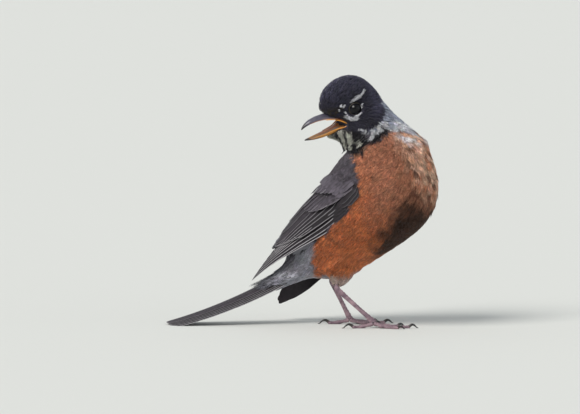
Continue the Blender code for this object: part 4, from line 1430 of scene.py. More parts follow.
@dataclass
class Wing:
    """A folded wing: primaries, secondaries, tertials, alula and three rows of coverts."""

    side: Side
    finish: Material
    primary_roots: Tuple = (
        (-6, 25), (-5, 24), (-4, 22.5), (-3, 20), (-1, 17), (1, 13), (3, 9), (5, 4.5), (6, 0.5)
    )
    primary_mids: Tuple = (31, 31, 31, 30, 28.5, 26, 22, 17, 12)
    primary_tips: Tuple = (
        (-52, 42), (-57, 44), (-62, 46), (-67, 47.6), (-72.5, 49), (-78, 50), (-82.5, 50.6),
        (-85, 50.5), (-79, 46.5),
    )
    open_tips: Tuple = (
        (-52, 42), (-57, 45), (-63, 50), (-70, 56), (-77, 60), (-82.5, 58), (-86, 54), (-87, 48.5), (-82, 42),
    )
    secondary_tips: Tuple = ((-38, 25.5), (-43, 30), (-47, 34.5), (-50.5, 39), (-53, 43), (-54.5, 46.5))
    secondary_mids: Tuple = (18, 22, 26.5, 31.5, 37, 43)
    secondary_roots: Tuple = ((4, 12), (4, 16), (4, 21), (4, 27), (4, 34), (4, 42))
    tertial_tips: Tuple = ((-53.5, 50.5), (-46.5, 57), (-37.5, 65))
    tertial_mids: Tuple = (45.5, 56, 67)
    tertial_roots: Tuple = ((2, 47), (2, 57), (2, 68))
    covert_tips: Tuple = (
        (2, 19), (-1.5, 20.5), (-5, 22.5), (-8, 24.8), (-11.5, 27.4), (-14.5, 30.4), (-17, 34),
        (-19, 38), (-20.5, 43), (-21.5, 49), (-21, 55.5), (-19.5, 62),
    )
    median_tips: Tuple = (
        (8, 20), (5.6, 24), (3.2, 28.2), (0.8, 33), (-1.8, 38), (-4.4, 43.6), (-6.6, 49.6), (-9, 56),
        (-11.5, 63), (-14, 70),
    )
    primary_covert_tips: Tuple = ((-0.5, 11.5), (-3.5, 9.5), (-6, 7), (-8.5, 4.5), (-10, 2))
    alula_paths: Tuple = (
        ((19.5, 10.5), (11, 10.5), (3, 10.5)), ((18.5, 7), (10, 6.8), (2, 6.8)),
        ((17, 3.5), (11, 3.6), (5.5, 3.4))
    )

    def __post_init__(self) -> None:
        """Sets up the guide surface."""
        self.surface = WingSurface(self.side)

    def scale(self, along: Array) -> Array:
        """Degrees of turn a millimetre across."""
        _, depth, width = np.moveaxis(rows_at(self.surface.guide, along), -1, 0)
        return 114.6 / (depth + width)

    def piece(
        self, name: str, vanes: List[Vane], slot: str, nodes: Sequence[str], seed: int, steps: int
    ) -> None:
        """Builds one row or group of vanes as a piece."""
        builder = VaneBuilder(self.surface.at, self.scale, steps, seed)
        for k, vane in enumerate(vanes):
            builder.add(vane, k, len(vanes))
        obj = builder.join(f"wing_{self.side.value}_{name}_feathers")
        Bench.hand_over(obj, self.finish, slot, [f"wing_{self.side.value}_{n}" for n in nodes])

    @staticmethod
    def long_row(roots: Tuple, mids: Tuple, tips: Tuple, sizes: Callable[[int], Tuple]) -> List[Vane]:
        """Flight feathers by root, middle angle and tip, with the other sizes by number."""
        return [
            Vane((root, ((root[0] + tip[0]) / 2, mid), tip), *sizes(k))
            for k, (root, mid, tip) in enumerate(zip(roots, mids, tips))
        ]

    @staticmethod
    def covert(tip: Tuple, back: float, turn: float, sag: float, *sizes: object) -> Vane:
        """A covert by its tip, its root so far back and turned, and its middle's sag."""
        root = (tip[0] + back, tip[1] + turn)
        return Vane((root, ((root[0] + tip[0]) / 2, (root[1] + tip[1]) / 2 - sag), tip), *sizes)

    def flight(self) -> None:
        """Primaries, secondaries and tertials."""
        spread = self.side is Side.LEFT
        tips, shape = (self.open_tips, (0.74, 2.2)) if spread else (self.primary_tips, (0.55, 1.5))

        def primary(k: int) -> Tuple:
            top = 0.25 - 0.11 * k
            return (9.0, 0.26, (top - 1.3, top), 1.1, BLACKISH, 0.3 if spread and k > 3 else 1.0, *shape)

        def secondary(k: int) -> Tuple:
            return 10.5, 0.3, (-1.2, 0.75), 1.3, BLACKISH if k < 4 else UMBER, 0.6, 0.78, 2.0

        def tertial(k: int) -> Tuple:
            return 11.5, 0.44, (-0.9, 1.15 + 0.2 * k), 0.7, UMBER, 0.4, 0.66, 2.0

        slot = "flight_feather"
        vanes = self.long_row(self.primary_roots, self.primary_mids, tips, primary)
        self.piece("primary", vanes, slot, ("primaries",), 11, 30)
        vanes = self.long_row(self.secondary_roots, self.secondary_mids, self.secondary_tips, secondary)
        self.piece("secondary", vanes, slot, ("secondaries",), 12, 26)
        vanes = self.long_row(self.tertial_roots, self.tertial_mids, self.tertial_tips, tertial)
        self.piece("tertial", vanes, slot, (), 13, 26)

    def coverts(self) -> None:
        """Greater, median and lesser coverts, primary coverts and alula."""
        vanes = []
        for k, tip in enumerate(self.covert_tips):
            sizes = 6.4, 0.34, (-0.8, 1.25), 1.1, SLATE, 0.5 if k in (4, 7) else 0.16, 0.6, 1.8
            vanes.append(self.covert(tip, 21 - 0.4 * k, 0.65 * k - 5, 0.8, *sizes))
        self.piece("greater_covert", vanes, "plumage_grey", ("coverts",), 14, 18)
        vanes = []
        for k, tip in enumerate(self.median_tips):
            sizes = 6.2, 0.46, (-0.2, 1.6), 0.9, ASH, 0.6 if k in (3, 5) else 0.08, 0.55, 1.9
            vanes.append(self.covert(tip, 14, 0.5 * k - 2, 0.0, *sizes))
        for share in np.arange(9) / 9:
            tip = (4 - 8 * share, 20 + 54 * share)
            vanes.append(self.covert(tip, 10, 0.0, 0.0, 7.0, 0.5, (0.0, 1.8), 0.5, ASH, 0.06, 0.5, 2.2))
        self.piece("lesser_covert", vanes, "plumage_grey", (), 15, 14)
        vanes = []
        for k, tip in enumerate(self.primary_covert_tips):
            sizes = 5.6, 0.32, (-0.9, 0.75 - 0.1 * k), 0.8, BLACKISH, 0.04, 0.6, 1.8
            vanes.append(self.covert(tip, 18, 0.6 * k - 1, 0.6, *sizes))
        for k, path in enumerate(self.alula_paths):
            vanes.append(Vane(path, 5.0, 0.42, (0.2, 1.25 - 0.15 * k), 0.7, BLACKISH, 0.14, 0.62, 1.9))
        self.piece("alula", vanes, "flight_feather", (), 16, 16)

    def build(self) -> None:
        """Makes the wing."""
        self.flight()
        self.coverts()


@dataclass
class Tail:
    """Twelve closed tail feathers, the middle pair on top."""

    finish: Material
    root: Tuple = (-38.0, 14.5, 42.8)
    length: float = 104.0
    slopes: Tuple = (math.radians(34.0), math.radians(13.8))
    rolls: Tuple = (math.radians(24.0), math.radians(5.0))
    half_widths: Tuple = (6, 8, 10.5, 12.2, 13, 12.4)
    thickness: Tuple = (5.5, 1.4)
    places: Tuple = (1.6, 3.5, 5.3, 7.1, 8.9, 10.6)

    def surface(self, along: Array, across: Array, lift: Array) -> Array:
        """Points by length from the root, place across and height over the tail's top."""
        first, last = self.slopes
        turn = (first - last) / self.length
        slope = first - turn * along
        down = (np.cos(slope) - np.cos(first)) / turn
        out = (np.sin(first) - np.sin(slope)) / turn
        point = np.array(self.root) + SHIFT + np.stack([-out, out * 0, -down], -1)
        way = np.stack([-np.cos(slope), slope * 0, -np.sin(slope)], -1)
        share = np.clip(along / self.length, 0, 1)
        roll = (self.rolls[0] + (self.rolls[1] - self.rolls[0]) * share)[:, None]
        level = np.array((0.0, 1.0, 0.0)) + way * 0
        left = level * np.cos(roll) + np.cross(level, way) * np.sin(roll)
        upper = np.cross(left, way)
        half = np.interp(share, np.linspace(0, 1, 6), self.half_widths)
        thick = self.thickness[0] + (self.thickness[1] - self.thickness[0]) * share
        part = np.abs(across) / half
        top = thick * (0.5 - 0.3 * part) - half * 0.1 * part**2
        return point + left * across[:, None] + upper * (top + lift)[:, None]

    def build(self) -> None:
        """Makes the tail's two pieces, one for each side."""
        for side in Side:
            sign = side.sign
            builder = VaneBuilder(
                lambda a, x, h, s=sign: self.surface(-a, -x * s, h), lambda a: np.ones_like(a), 34, 31
            )
            for k, place in enumerate(self.places):
                reach = self.length * (1.0 - 0.006 * k)
                path = ((-2.0, -place * 0.42), (-reach * 0.5, -place * 0.8), (-reach, -place))
                lift = (-0.2 - 0.35 * k, 0.05 - 0.17 * k)
                tint = BLACKISH if k else UMBER
                builder.add(Vane(
                    path, 9.4, 0.24 if k else 0.42, lift, 0.5, tint, (0.25, 0.35, 0.4, 0.45, 0.6, 0.9)[k],
                    0.86, 2.4, 0.2
                ), k, 6)
            obj = builder.join(f"tail_{side.value}_feathers")
            nodes = ("tail",) if side is Side.LEFT else ()
            Bench.hand_over(obj, self.finish, "flight_feather", nodes)


# Bill, mouth and tongue


@dataclass
class Bill:
    """Both halves of the open bill, the soft rim of the gape and the lining behind it."""

    upper_ridge: Tuple = (
        (6, -5.2), (7, -4.6), (12, -1.6), (17, -0.7), (23, -0.7), (28, -1.5), (31.5, -3.1), (33.4, -4.6),
        (34.4, -6)
    )
    upper_edge: Tuple = (
        (6, -7.8), (7, -7.2), (12, -5.2), (17, -3.9), (23, -3.5), (28, -3.9), (31.5, -4.9), (33.4, -5.8),
        (34.4, -6.5)
    )
    upper_half: Tuple = (
        (6, 5.7), (11.5, 5.2), (17, 4.5), (23, 3.6), (28, 2.6), (31.5, 1.6), (33.4, 0.9), (34.4, 0.25)
    )
    lower_edge: Tuple = (
        (6, -11), (7, -11.1), (12, -11.9), (17, -12.5), (22, -12.9), (27, -13.1), (30.5, -13.2),
        (32.6, -13.3), (33.6, -13.5)
    )
    lower_keel: Tuple = (
        (6, -12.6), (7, -13), (12, -14.6), (17, -15.4), (22, -15.6), (27, -15.2), (30.5, -14.6),
        (32.6, -14.1), (33.6, -13.9)
    )
    lower_half: Tuple = (
        (6, 5.5), (11.5, 5), (17, 4.3), (22, 3.5), (27, 2.5), (30.5, 1.5), (32.6, 0.8), (33.6, 0.25)
    )
    stations: int = 30

    def half(self, name: str, upper: bool, finish: Material) -> None:
        """One half of the bill, named for the solid that it replaces."""
        back, edge, widths = (
            (self.upper_ridge, self.upper_edge, self.upper_half)
            if upper
            else (self.lower_keel, self.lower_edge, self.lower_half)
        )
        sign = 1 if upper else -1
        end = back[-1][0]
        rings, warm, dark = [], [], []
        for k in range(self.stations):
            share = k / (self.stations - 1)
            ahead = 6.0 + (end - 6.0) * (1 - (1 - share) ** 1.25)
            ridge, rim, half = (rows_at(table, ahead)[0] for table in (back, edge, widths))
            height = abs(ridge - rim)
            angles = np.radians(np.linspace(0, 180, 17))
            side = np.cos(angles) * half
            up = rim + sign * np.sin(angles) ** 0.82 * height
            keel = np.exp(-((side / 0.9) ** 2)) * 0.22 * (1 - share)
            up = up + sign * keel
            hollow_side = -half * np.linspace(0.86, -0.86, 5)
            depth = min(0.9, height * 0.45)
            hollow = rim + sign * depth * np.array((0.35, 0.85, 1.0, 0.85, 0.35))
            side = np.concatenate([side, hollow_side])
            up = np.concatenate([up, hollow])
            pit = np.zeros(len(side))
            if upper:
                near = np.exp(-(((ahead - 13.6) / 1.5) ** 2))
                pit[:17] = sum(near * np.exp(-(((np.degrees(angles) - at) / 11) ** 2)) for at in (38, 142))
            side = side * (1 - 0.16 * pit)
            rings.append(HEAD.at(np.full(len(side), ahead), side, up - 0.25 * pit))
            at_rim = smooth(0.45, 0.06, np.abs(up - rim) / max(height, 0.3))
            base = smooth(15, 7, ahead) if upper else smooth(30, 20, ahead)
            warm.append(np.maximum(
                at_rim * (0.75 if upper else 1.0) * smooth(34, 26, ahead), base * (0.5 if upper else 0.8)
            ))
            tip = smooth(27, 33, ahead)
            # Dark: the nostril pits darkened as painted shade of their openings; the dark tip is the horn's
            # own colour.
            dark.append(np.maximum(pit * 1.1, tip * (0.75 if upper else 0.95)))
        obj = Bench.loft(name + "_horn", rings)
        for key, rows in (("Warm", warm), ("Dark", dark)):
            Bench.number(obj, key, np.concatenate(rows))
        Bench.apply(obj, "SUBSURF", levels=1, render_levels=1)
        Bench.hand_over(obj, finish, "bill_horn", (name,))

    def rim_line(self, upper: bool, form: Form, sign: int) -> Array:
        """Middle line of the soft rim from the gape's corner along one half of the bill."""
        if upper:
            line = np.array((
                (3.9, -10.5), (5.2, -9.6), (6.8, -8.3), (9.0, -6.7), (11.5, -5.55), (14.5, -4.55),
                (18.0, -3.95)
            ))
        else:
            line = np.array((
                (3.9, -10.7), (5.4, -11.15), (7.2, -11.5), (9.5, -11.75), (12.0, -12.0), (15.0, -12.35),
                (18.5, -12.7)
            ))
        table = self.upper_half if upper else self.lower_half
        half = rows_at(table, line[:, 0])[:, 0] * 0.98
        start = HEAD.at(line[:, 0], 13.0 * sign + line[:, 0] * 0, line[:, 1])
        on_face = HEAD.local(form.settle(start, np.full(len(start), -0.35)))[:, 1]
        blend = smooth(5.0, 13.0, line[:, 0])
        side = np.minimum(np.abs(on_face), 8.6) * (1 - blend) + half * blend
        return HEAD.at(line[:, 0], side * sign, line[:, 1])

    def gape_rims(self, form: Form, finish: Material) -> None:
        """The yellow fleshy rims at both corners of the mouth."""
        for side in Side:
            upper = self.rim_line(True, form, side.sign)
            lower = self.rim_line(False, form, side.sign)
            line = np.concatenate([upper[::-1], lower[1:]])
            share = np.linspace(0, 1, 40)
            path = resampled(line, share)
            for _ in range(3):
                path[1:-1] = (path[:-2] + path[1:-1] * 2 + path[2:]) / 4
            thick = 0.27 + 0.26 * np.exp(-(((share - 0.5) / 0.2) ** 2))
            thick[[0, -1]] = 0.08
            rings = tube_rings(path, thick, thick * 0.8, 10, HEAD.rows[1] * side.sign)
            obj = Bench.loft(f"gape_rim_{side.value}", rings)
            Bench.hand_over(obj, finish, "bill_horn")

    def lining(self, finish: Material) -> None:
        """The flesh inside the open mouth, folded at its corner."""
        line = np.array((
            (20.0, -3.0), (15.0, -3.4), (12.0, -4.6), (9.0, -6.0), (6.4, -7.9), (4.6, -9.8), (4.4, -10.7),
            (5.4, -11.6), (8.0, -12.2), (12.0, -12.9), (20.0, -13.9)
        ))
        rings = []
        path = resampled(line, np.linspace(0, 1, 31))
        way = unit(np.gradient(path, axis=0))
        for (f, g), (df, dg) in zip(path, way):
            reach = 7.6 - 4.6 * smooth(5.0, 15.0, f)
            across = np.concatenate([np.linspace(-1, 1, 9), np.linspace(1, -1, 9)]) * reach
            out = np.array([0.35] * 9 + [-0.35] * 9)
            sag = (1 - (across / reach) ** 2) * -0.7
            rings.append(HEAD.at(f + (out + sag) * dg * -1, across, g + (out + sag) * df))
        obj = Bench.loft("mouth_lining", rings)
        Bench.hand_over(obj, finish, "tongue_skin")

    def tongue(self, finish: Material) -> None:
        """The narrow tongue, grooved along its top, on the floor of the mouth."""
        rings = []
        for k in range(15):
            share = k / 14
            ahead = 9.5 + 15.0 * share
            floor = rows_at(self.lower_edge, ahead)[0] + 0.25
            half = 2.0 * math.sqrt(max(0.02, 1 - share**2.4))
            thick = 0.62 * (1 - 0.5 * share) * math.sqrt(max(0.05, 1 - share**4))
            angle = np.linspace(0, 2 * math.pi, 14, endpoint=False)
            up = np.sin(angle) * thick
            groove = 0.25 * np.exp(-((np.cos(angle) * 3.2) ** 2)) * (np.sin(angle) > 0)
            rings.append(HEAD.at(np.full(14, ahead), np.cos(angle) * half, floor + thick + up - groove))
        obj = Bench.loft("tongue_flesh", rings)
        Bench.apply(obj, "SUBSURF", levels=1, render_levels=1)
        Bench.hand_over(obj, finish, "tongue_skin", ("tongue",))

    def build(self, form: Form) -> None:
        """Makes all of the bill."""
        horn = HornFinish(
            "bill_upper_horn", (0.06, 0.055, 0.078), (0.42, 0.17, 0.085), (0.016, 0.012, 0.016)
        ).make()
        yellow = HornFinish(
            "bill_lower_horn", (0.24, 0.13, 0.075), (0.58, 0.27, 0.065), (0.03, 0.02, 0.02)
        ).make()
        self.half("bill_upper", True, horn)
        self.half("bill_lower", False, yellow)
        self.gape_rims(form, WetFinish("gape_flesh", (0.8, 0.36, 0.04), (0.66, 0.24, 0.028), 0.3).make())
        flesh = WetFinish("mouth_flesh", (0.36, 0.095, 0.022), (0.2, 0.045, 0.012)).make()
        self.lining(flesh)
        self.tongue(WetFinish("tongue_skin", (0.48, 0.2, 0.1), (0.36, 0.12, 0.06)).make())


def tube_rings(path: Array, across: Array, up: Array, count: int, hint: Array) -> List[Array]:
    """Rings round a path, by half widths across and up, where hint is about up."""
    way = unit(np.gradient(path, axis=0))
    turn = np.linspace(0, 2 * math.pi, count, endpoint=False)
    rings = []
    for point, ahead, wide, high in zip(
        path, way, np.broadcast_to(across, len(path)), np.broadcast_to(up, len(path))
    ):
        rise = unit(hint - ahead * (hint @ ahead))
        side = np.cross(ahead, rise)
        rings.append(point + np.cos(turn)[:, None] * side * wide + np.sin(turn)[:, None] * rise * high)
    return rings


# Eyes


@dataclass
class Eye:
    """An eyeball with a domed clear front, in a beaded ring of lid."""

    side: Side
    radius: float = EYE_RADIUS
    opening: float = 3.75

    def __post_init__(self) -> None:
        """Sets the eye's middle and the way it looks."""
        self.middle, self.aim = eye_axis(self.side)
        self.up = unit(HEAD.rows[2] - self.aim * (HEAD.rows[2] @ self.aim))
        self.across = np.cross(self.up, self.aim)

    def ball(self, finish: Material) -> None:
        """The eyeball, its front domed a little."""
        Bench.clear()
        bpy.ops.mesh.primitive_uv_sphere_add(segments=48, ring_count=32, radius=self.radius * MM)
        obj = bpy.context.object
        obj.name = obj.data.name = f"eyeball_{self.side.value}"
        points = Bench.points(obj)
        turned = points[:, :1] * self.across + points[:, 1:2] * self.up + points[:, 2:] * self.aim
        off = np.linalg.norm(points[:, :2], axis=1)
        front = np.exp(-((off / 2.6) ** 2)) * (points[:, 2] > 0)
        Bench.place(obj, self.middle + turned + self.aim * (front * 0.28)[:, None])
        Bench.number(obj, "Ring", np.where(points[:, 2] > 0, off / self.radius, 1.0))
        Bench.outward(obj)
        bpy.ops.object.shade_smooth()
        Bench.hand_over(obj, finish, "eye_gloss", (f"eye_{self.side.value}",))

    def lids(self, finish: Material) -> None:
        """Two lids that meet at the corners, as one beaded ring on the ball."""
        count = 72
        rings = []
        for k in range(count):
            turn = 2 * math.pi * k / count
            flat = self.opening * (1 + 0.05 * math.cos(2 * turn)) + 0.05 * math.sin(turn * 18)
            out = self.across * math.cos(turn) + self.up * math.sin(turn)
            corner = abs(math.cos(turn)) ** 12
            ring = []
            for j in range(10):
                angle = 2 * math.pi * j / 10
                wide = 0.5 + 0.18 * corner
                reach = flat + wide * 0.92 + math.cos(angle) * wide
                base = math.sqrt(max(self.radius**2 - min(reach, self.radius) ** 2, 0.0))
                drop = max(0.0, reach - self.radius) * 0.9
                rise = base - drop + 0.16 + 0.34 * math.sin(angle) + 0.04 * math.sin(turn * 36)
                ring.append(self.middle + out * reach + self.aim * rise)
            rings.append(np.array(ring))
        faces = []
        for k in range(count):
            for j in range(10):
                n, m = (k + 1) % count, (j + 1) % 10
                faces.append((k * 10 + j, n * 10 + j, n * 10 + m, k * 10 + m))
        obj = Bench.array_mesh(f"eyelids_{self.side.value}", np.concatenate(rings), np.array(faces))
        Bench.outward(obj)
        Bench.apply(obj, "SUBSURF", levels=1, render_levels=1)
        bpy.ops.object.shade_smooth()
        Bench.hand_over(obj, finish, "plumage_dark")


# Legs


@dataclass
class Leg:
    """Tarsus with shields down its front, four toes with pads, and curved claws."""

    side: Side
    skin: Material
    horn: Material
    tarsus_radii: Tuple = (1.7, 1.45, 1.25, 1.15, 1.25, 1.75)
    toe_radius: float = 1.3
    pad_height: float = 1.0
    toe_lengths: Tuple = (13, 16.5, 22.5, 17)
    toe_spreads: Tuple = (180, 24, 0, -22)
    claw_lengths: Tuple = (8, 5.6, 6.6, 5.4)
    shield: float = 2.35  # length of one front shield

    def __post_init__(self) -> None:
        """Sets heel, toe root and the middle toe's way."""
        if self.side is Side.RIGHT:
            self.heel, self.root = np.array((-23.0, -7.0, 26.5)) + SHIFT, np.array((2.2, -11.0, 4.2)) + SHIFT
            turn, self.back_turn = -4.0, 14.0
        else:
            self.heel, self.root = np.array((-25.5, 12.5, 30.0)) + SHIFT, np.array((-13.0, 17.0, 4.2)) + SHIFT
            turn, self.back_turn = 8.0, -6.0
        self.turn = math.radians(turn)

    def way(self, toe: int) -> Array:
        """Level way of a toe."""
        spread = self.toe_spreads[toe] * -self.side.sign + (self.back_turn if toe == 0 else 0.0)
        angle = self.turn + math.radians(spread)
        return np.array((math.cos(angle), math.sin(angle), 0.0))

    def tarsus(self) -> None:
        """The tarsus, thicker at heel and foot, with a step at each shield's end."""
        way = unit(self.root - self.heel)
        heel = self.heel - way * 2.5
        length = float(np.linalg.norm(self.root - heel))
        count = 90
        share = np.linspace(0, 1, count)
        path = heel + (self.root - heel) * (share[:, None] * (length + 0.9) / length)
        path = path + np.outer(np.clip(1 - share / 0.16, 0, 1) ** 2, (3.0, 0.0, 1.5))
        front = unit(self.way(2) - way * (self.way(2) @ way))
        rings, joints = [], []
        turn = np.linspace(0, 2 * math.pi, 20, endpoint=False)
        side = np.cross(way, front)
        for point, part in zip(path, share):
            radius = np.interp(part, np.linspace(0, 1, 6), self.tarsus_radii)
            place = part * length / self.shield % 1.0
            step = 0.2 * (1 - place) ** 2
            radius = radius * math.sqrt(max(0.05, 1 - max(0.0, 1 - part / 0.07) ** 2))
            facing = np.clip(np.cos(turn) * 1.4, 0, 1)
            reach = radius * (1 + step * facing) + 0.05 * np.sin(turn * 3) * (1 - facing)
            keel = 0.22 * np.clip(-np.cos(turn), 0, 1) ** 3
            reach = reach + keel
            rings.append(point + np.outer(
                np.cos(turn) * reach * 1.05, front
            ) + np.outer(np.sin(turn) * reach * 0.82, side))
            gap = np.exp(-((min(place, 1 - place) / 0.1) ** 2))
            joints.append(gap * (0.35 + 0.65 * facing) * 0.9)
        obj = Bench.loft(f"tarsus_{self.side.value}_scaled", rings)
        Bench.number(obj, "Joint", np.concatenate(joints))
        Bench.hand_over(obj, self.skin, "leg_skin", (f"tarsus_{self.side.value}",))

    def toe_line(self, toe: int, share: Array) -> Array:
        """Middle line of a toe."""
        way = self.way(toe)
        start = self.root + way * 1.0
        above = self.root[2] - self.pad_height - self.toe_radius
        height = self.pad_height * (1 - 0.12 * share) + above * (1 - share) ** 3
        line = np.array((start[0], start[1], 0.0)) + np.outer(self.toe_lengths[toe] * share, way)
        line[:, 2] = height
        return line

    def toe(self, toe: int) -> None:
        """One toe: rings of scutes above, round pads below, flat where it rests."""
        knuckles = (2, 2, 3, 4)[toe]
        count = int(self.toe_lengths[toe] * 3.2)
        share = np.linspace(-0.04, 1.0, count)
        line = self.toe_line(toe, np.clip(share, 0, 1))
        line[0] -= self.way(toe) * 0.5
        turn = np.linspace(0, 2 * math.pi, 16, endpoint=False)
        way = self.way(toe)
        side = np.cross(UP, way)
        rings, joints = [], []
        for point, part in zip(line, share):
            pad = 0.5 + 0.5 * math.cos(2 * math.pi * knuckles * part)
            size = self.toe_radius * (1.0 - 0.28 * max(part, 0)) * (0.86 + 0.24 * pad)
            size *= math.sqrt(max(0.15, 1 - max(0.0, (part - 0.93) / 0.075) ** 2 * 0.75))
            place = max(part, 0) * self.toe_lengths[toe] / 1.35 % 1.0
            above = np.clip(np.sin(turn) * 1.6 + 0.2, 0, 1)
            reach = size * (1 + 0.22 * (1 - place) ** 1.5 * above) + 0.22 * pad * (1 - above)
            ring = point + np.outer(np.cos(turn) * reach, side) + np.outer(np.sin(turn) * reach, UP)
            ring[:, 2] = np.maximum(ring[:, 2], 0.012)
            rings.append(ring)
            gap = math.exp(-((min(place, 1 - place) / 0.14) ** 2))
            joints.append(gap * above * 0.95 + 0.25 * (1 - above) * (1 - pad))
        obj = Bench.loft(f"toe_{self.side.value}_{toe + 1}_scaled", rings)
        Bench.number(obj, "Joint", np.concatenate(joints))
        Bench.hand_over(obj, self.skin, "leg_skin", (f"toe_{self.side.value}_{toe + 1}",))

    def claw(self, toe: int) -> None:
        """A curved claw, deeper than wide."""
        end = self.toe_line(toe, np.array((1.0,)))[0]
        way = self.way(toe)
        length = self.claw_lengths[toe]
        count = 22
        share = np.linspace(0, 1, count)
        rise = 0.24 * np.sin(math.pi * np.minimum(1.0, share * 1.2)) - 0.05 * share
        line = end + np.outer(length * 0.96 * share - 0.7, way)
        line[:, 2] = end[2] + 0.12 + length * rise - (end[2] - 0.62) * share**2
        half = self.toe_radius * 0.74 * (1 - share) ** 0.75 + 0.09
        rings = [np.maximum(ring, CLEARANCE) for ring in tube_rings(line, half * 0.72, half, 12, UP)]
        obj = Bench.loft(f"claw_{self.side.value}_{toe + 1}_horn", rings)
        Bench.number(obj, "Joint", np.repeat(share, 12))
        Bench.hand_over(obj, self.horn, "claw_horn", (f"claw_{self.side.value}_{toe + 1}",))

    def build(self) -> None:
        """Makes the leg."""
        self.tarsus()
        for toe in range(4):
            self.toe(toe)
            self.claw(toe)


# The coat's tracts


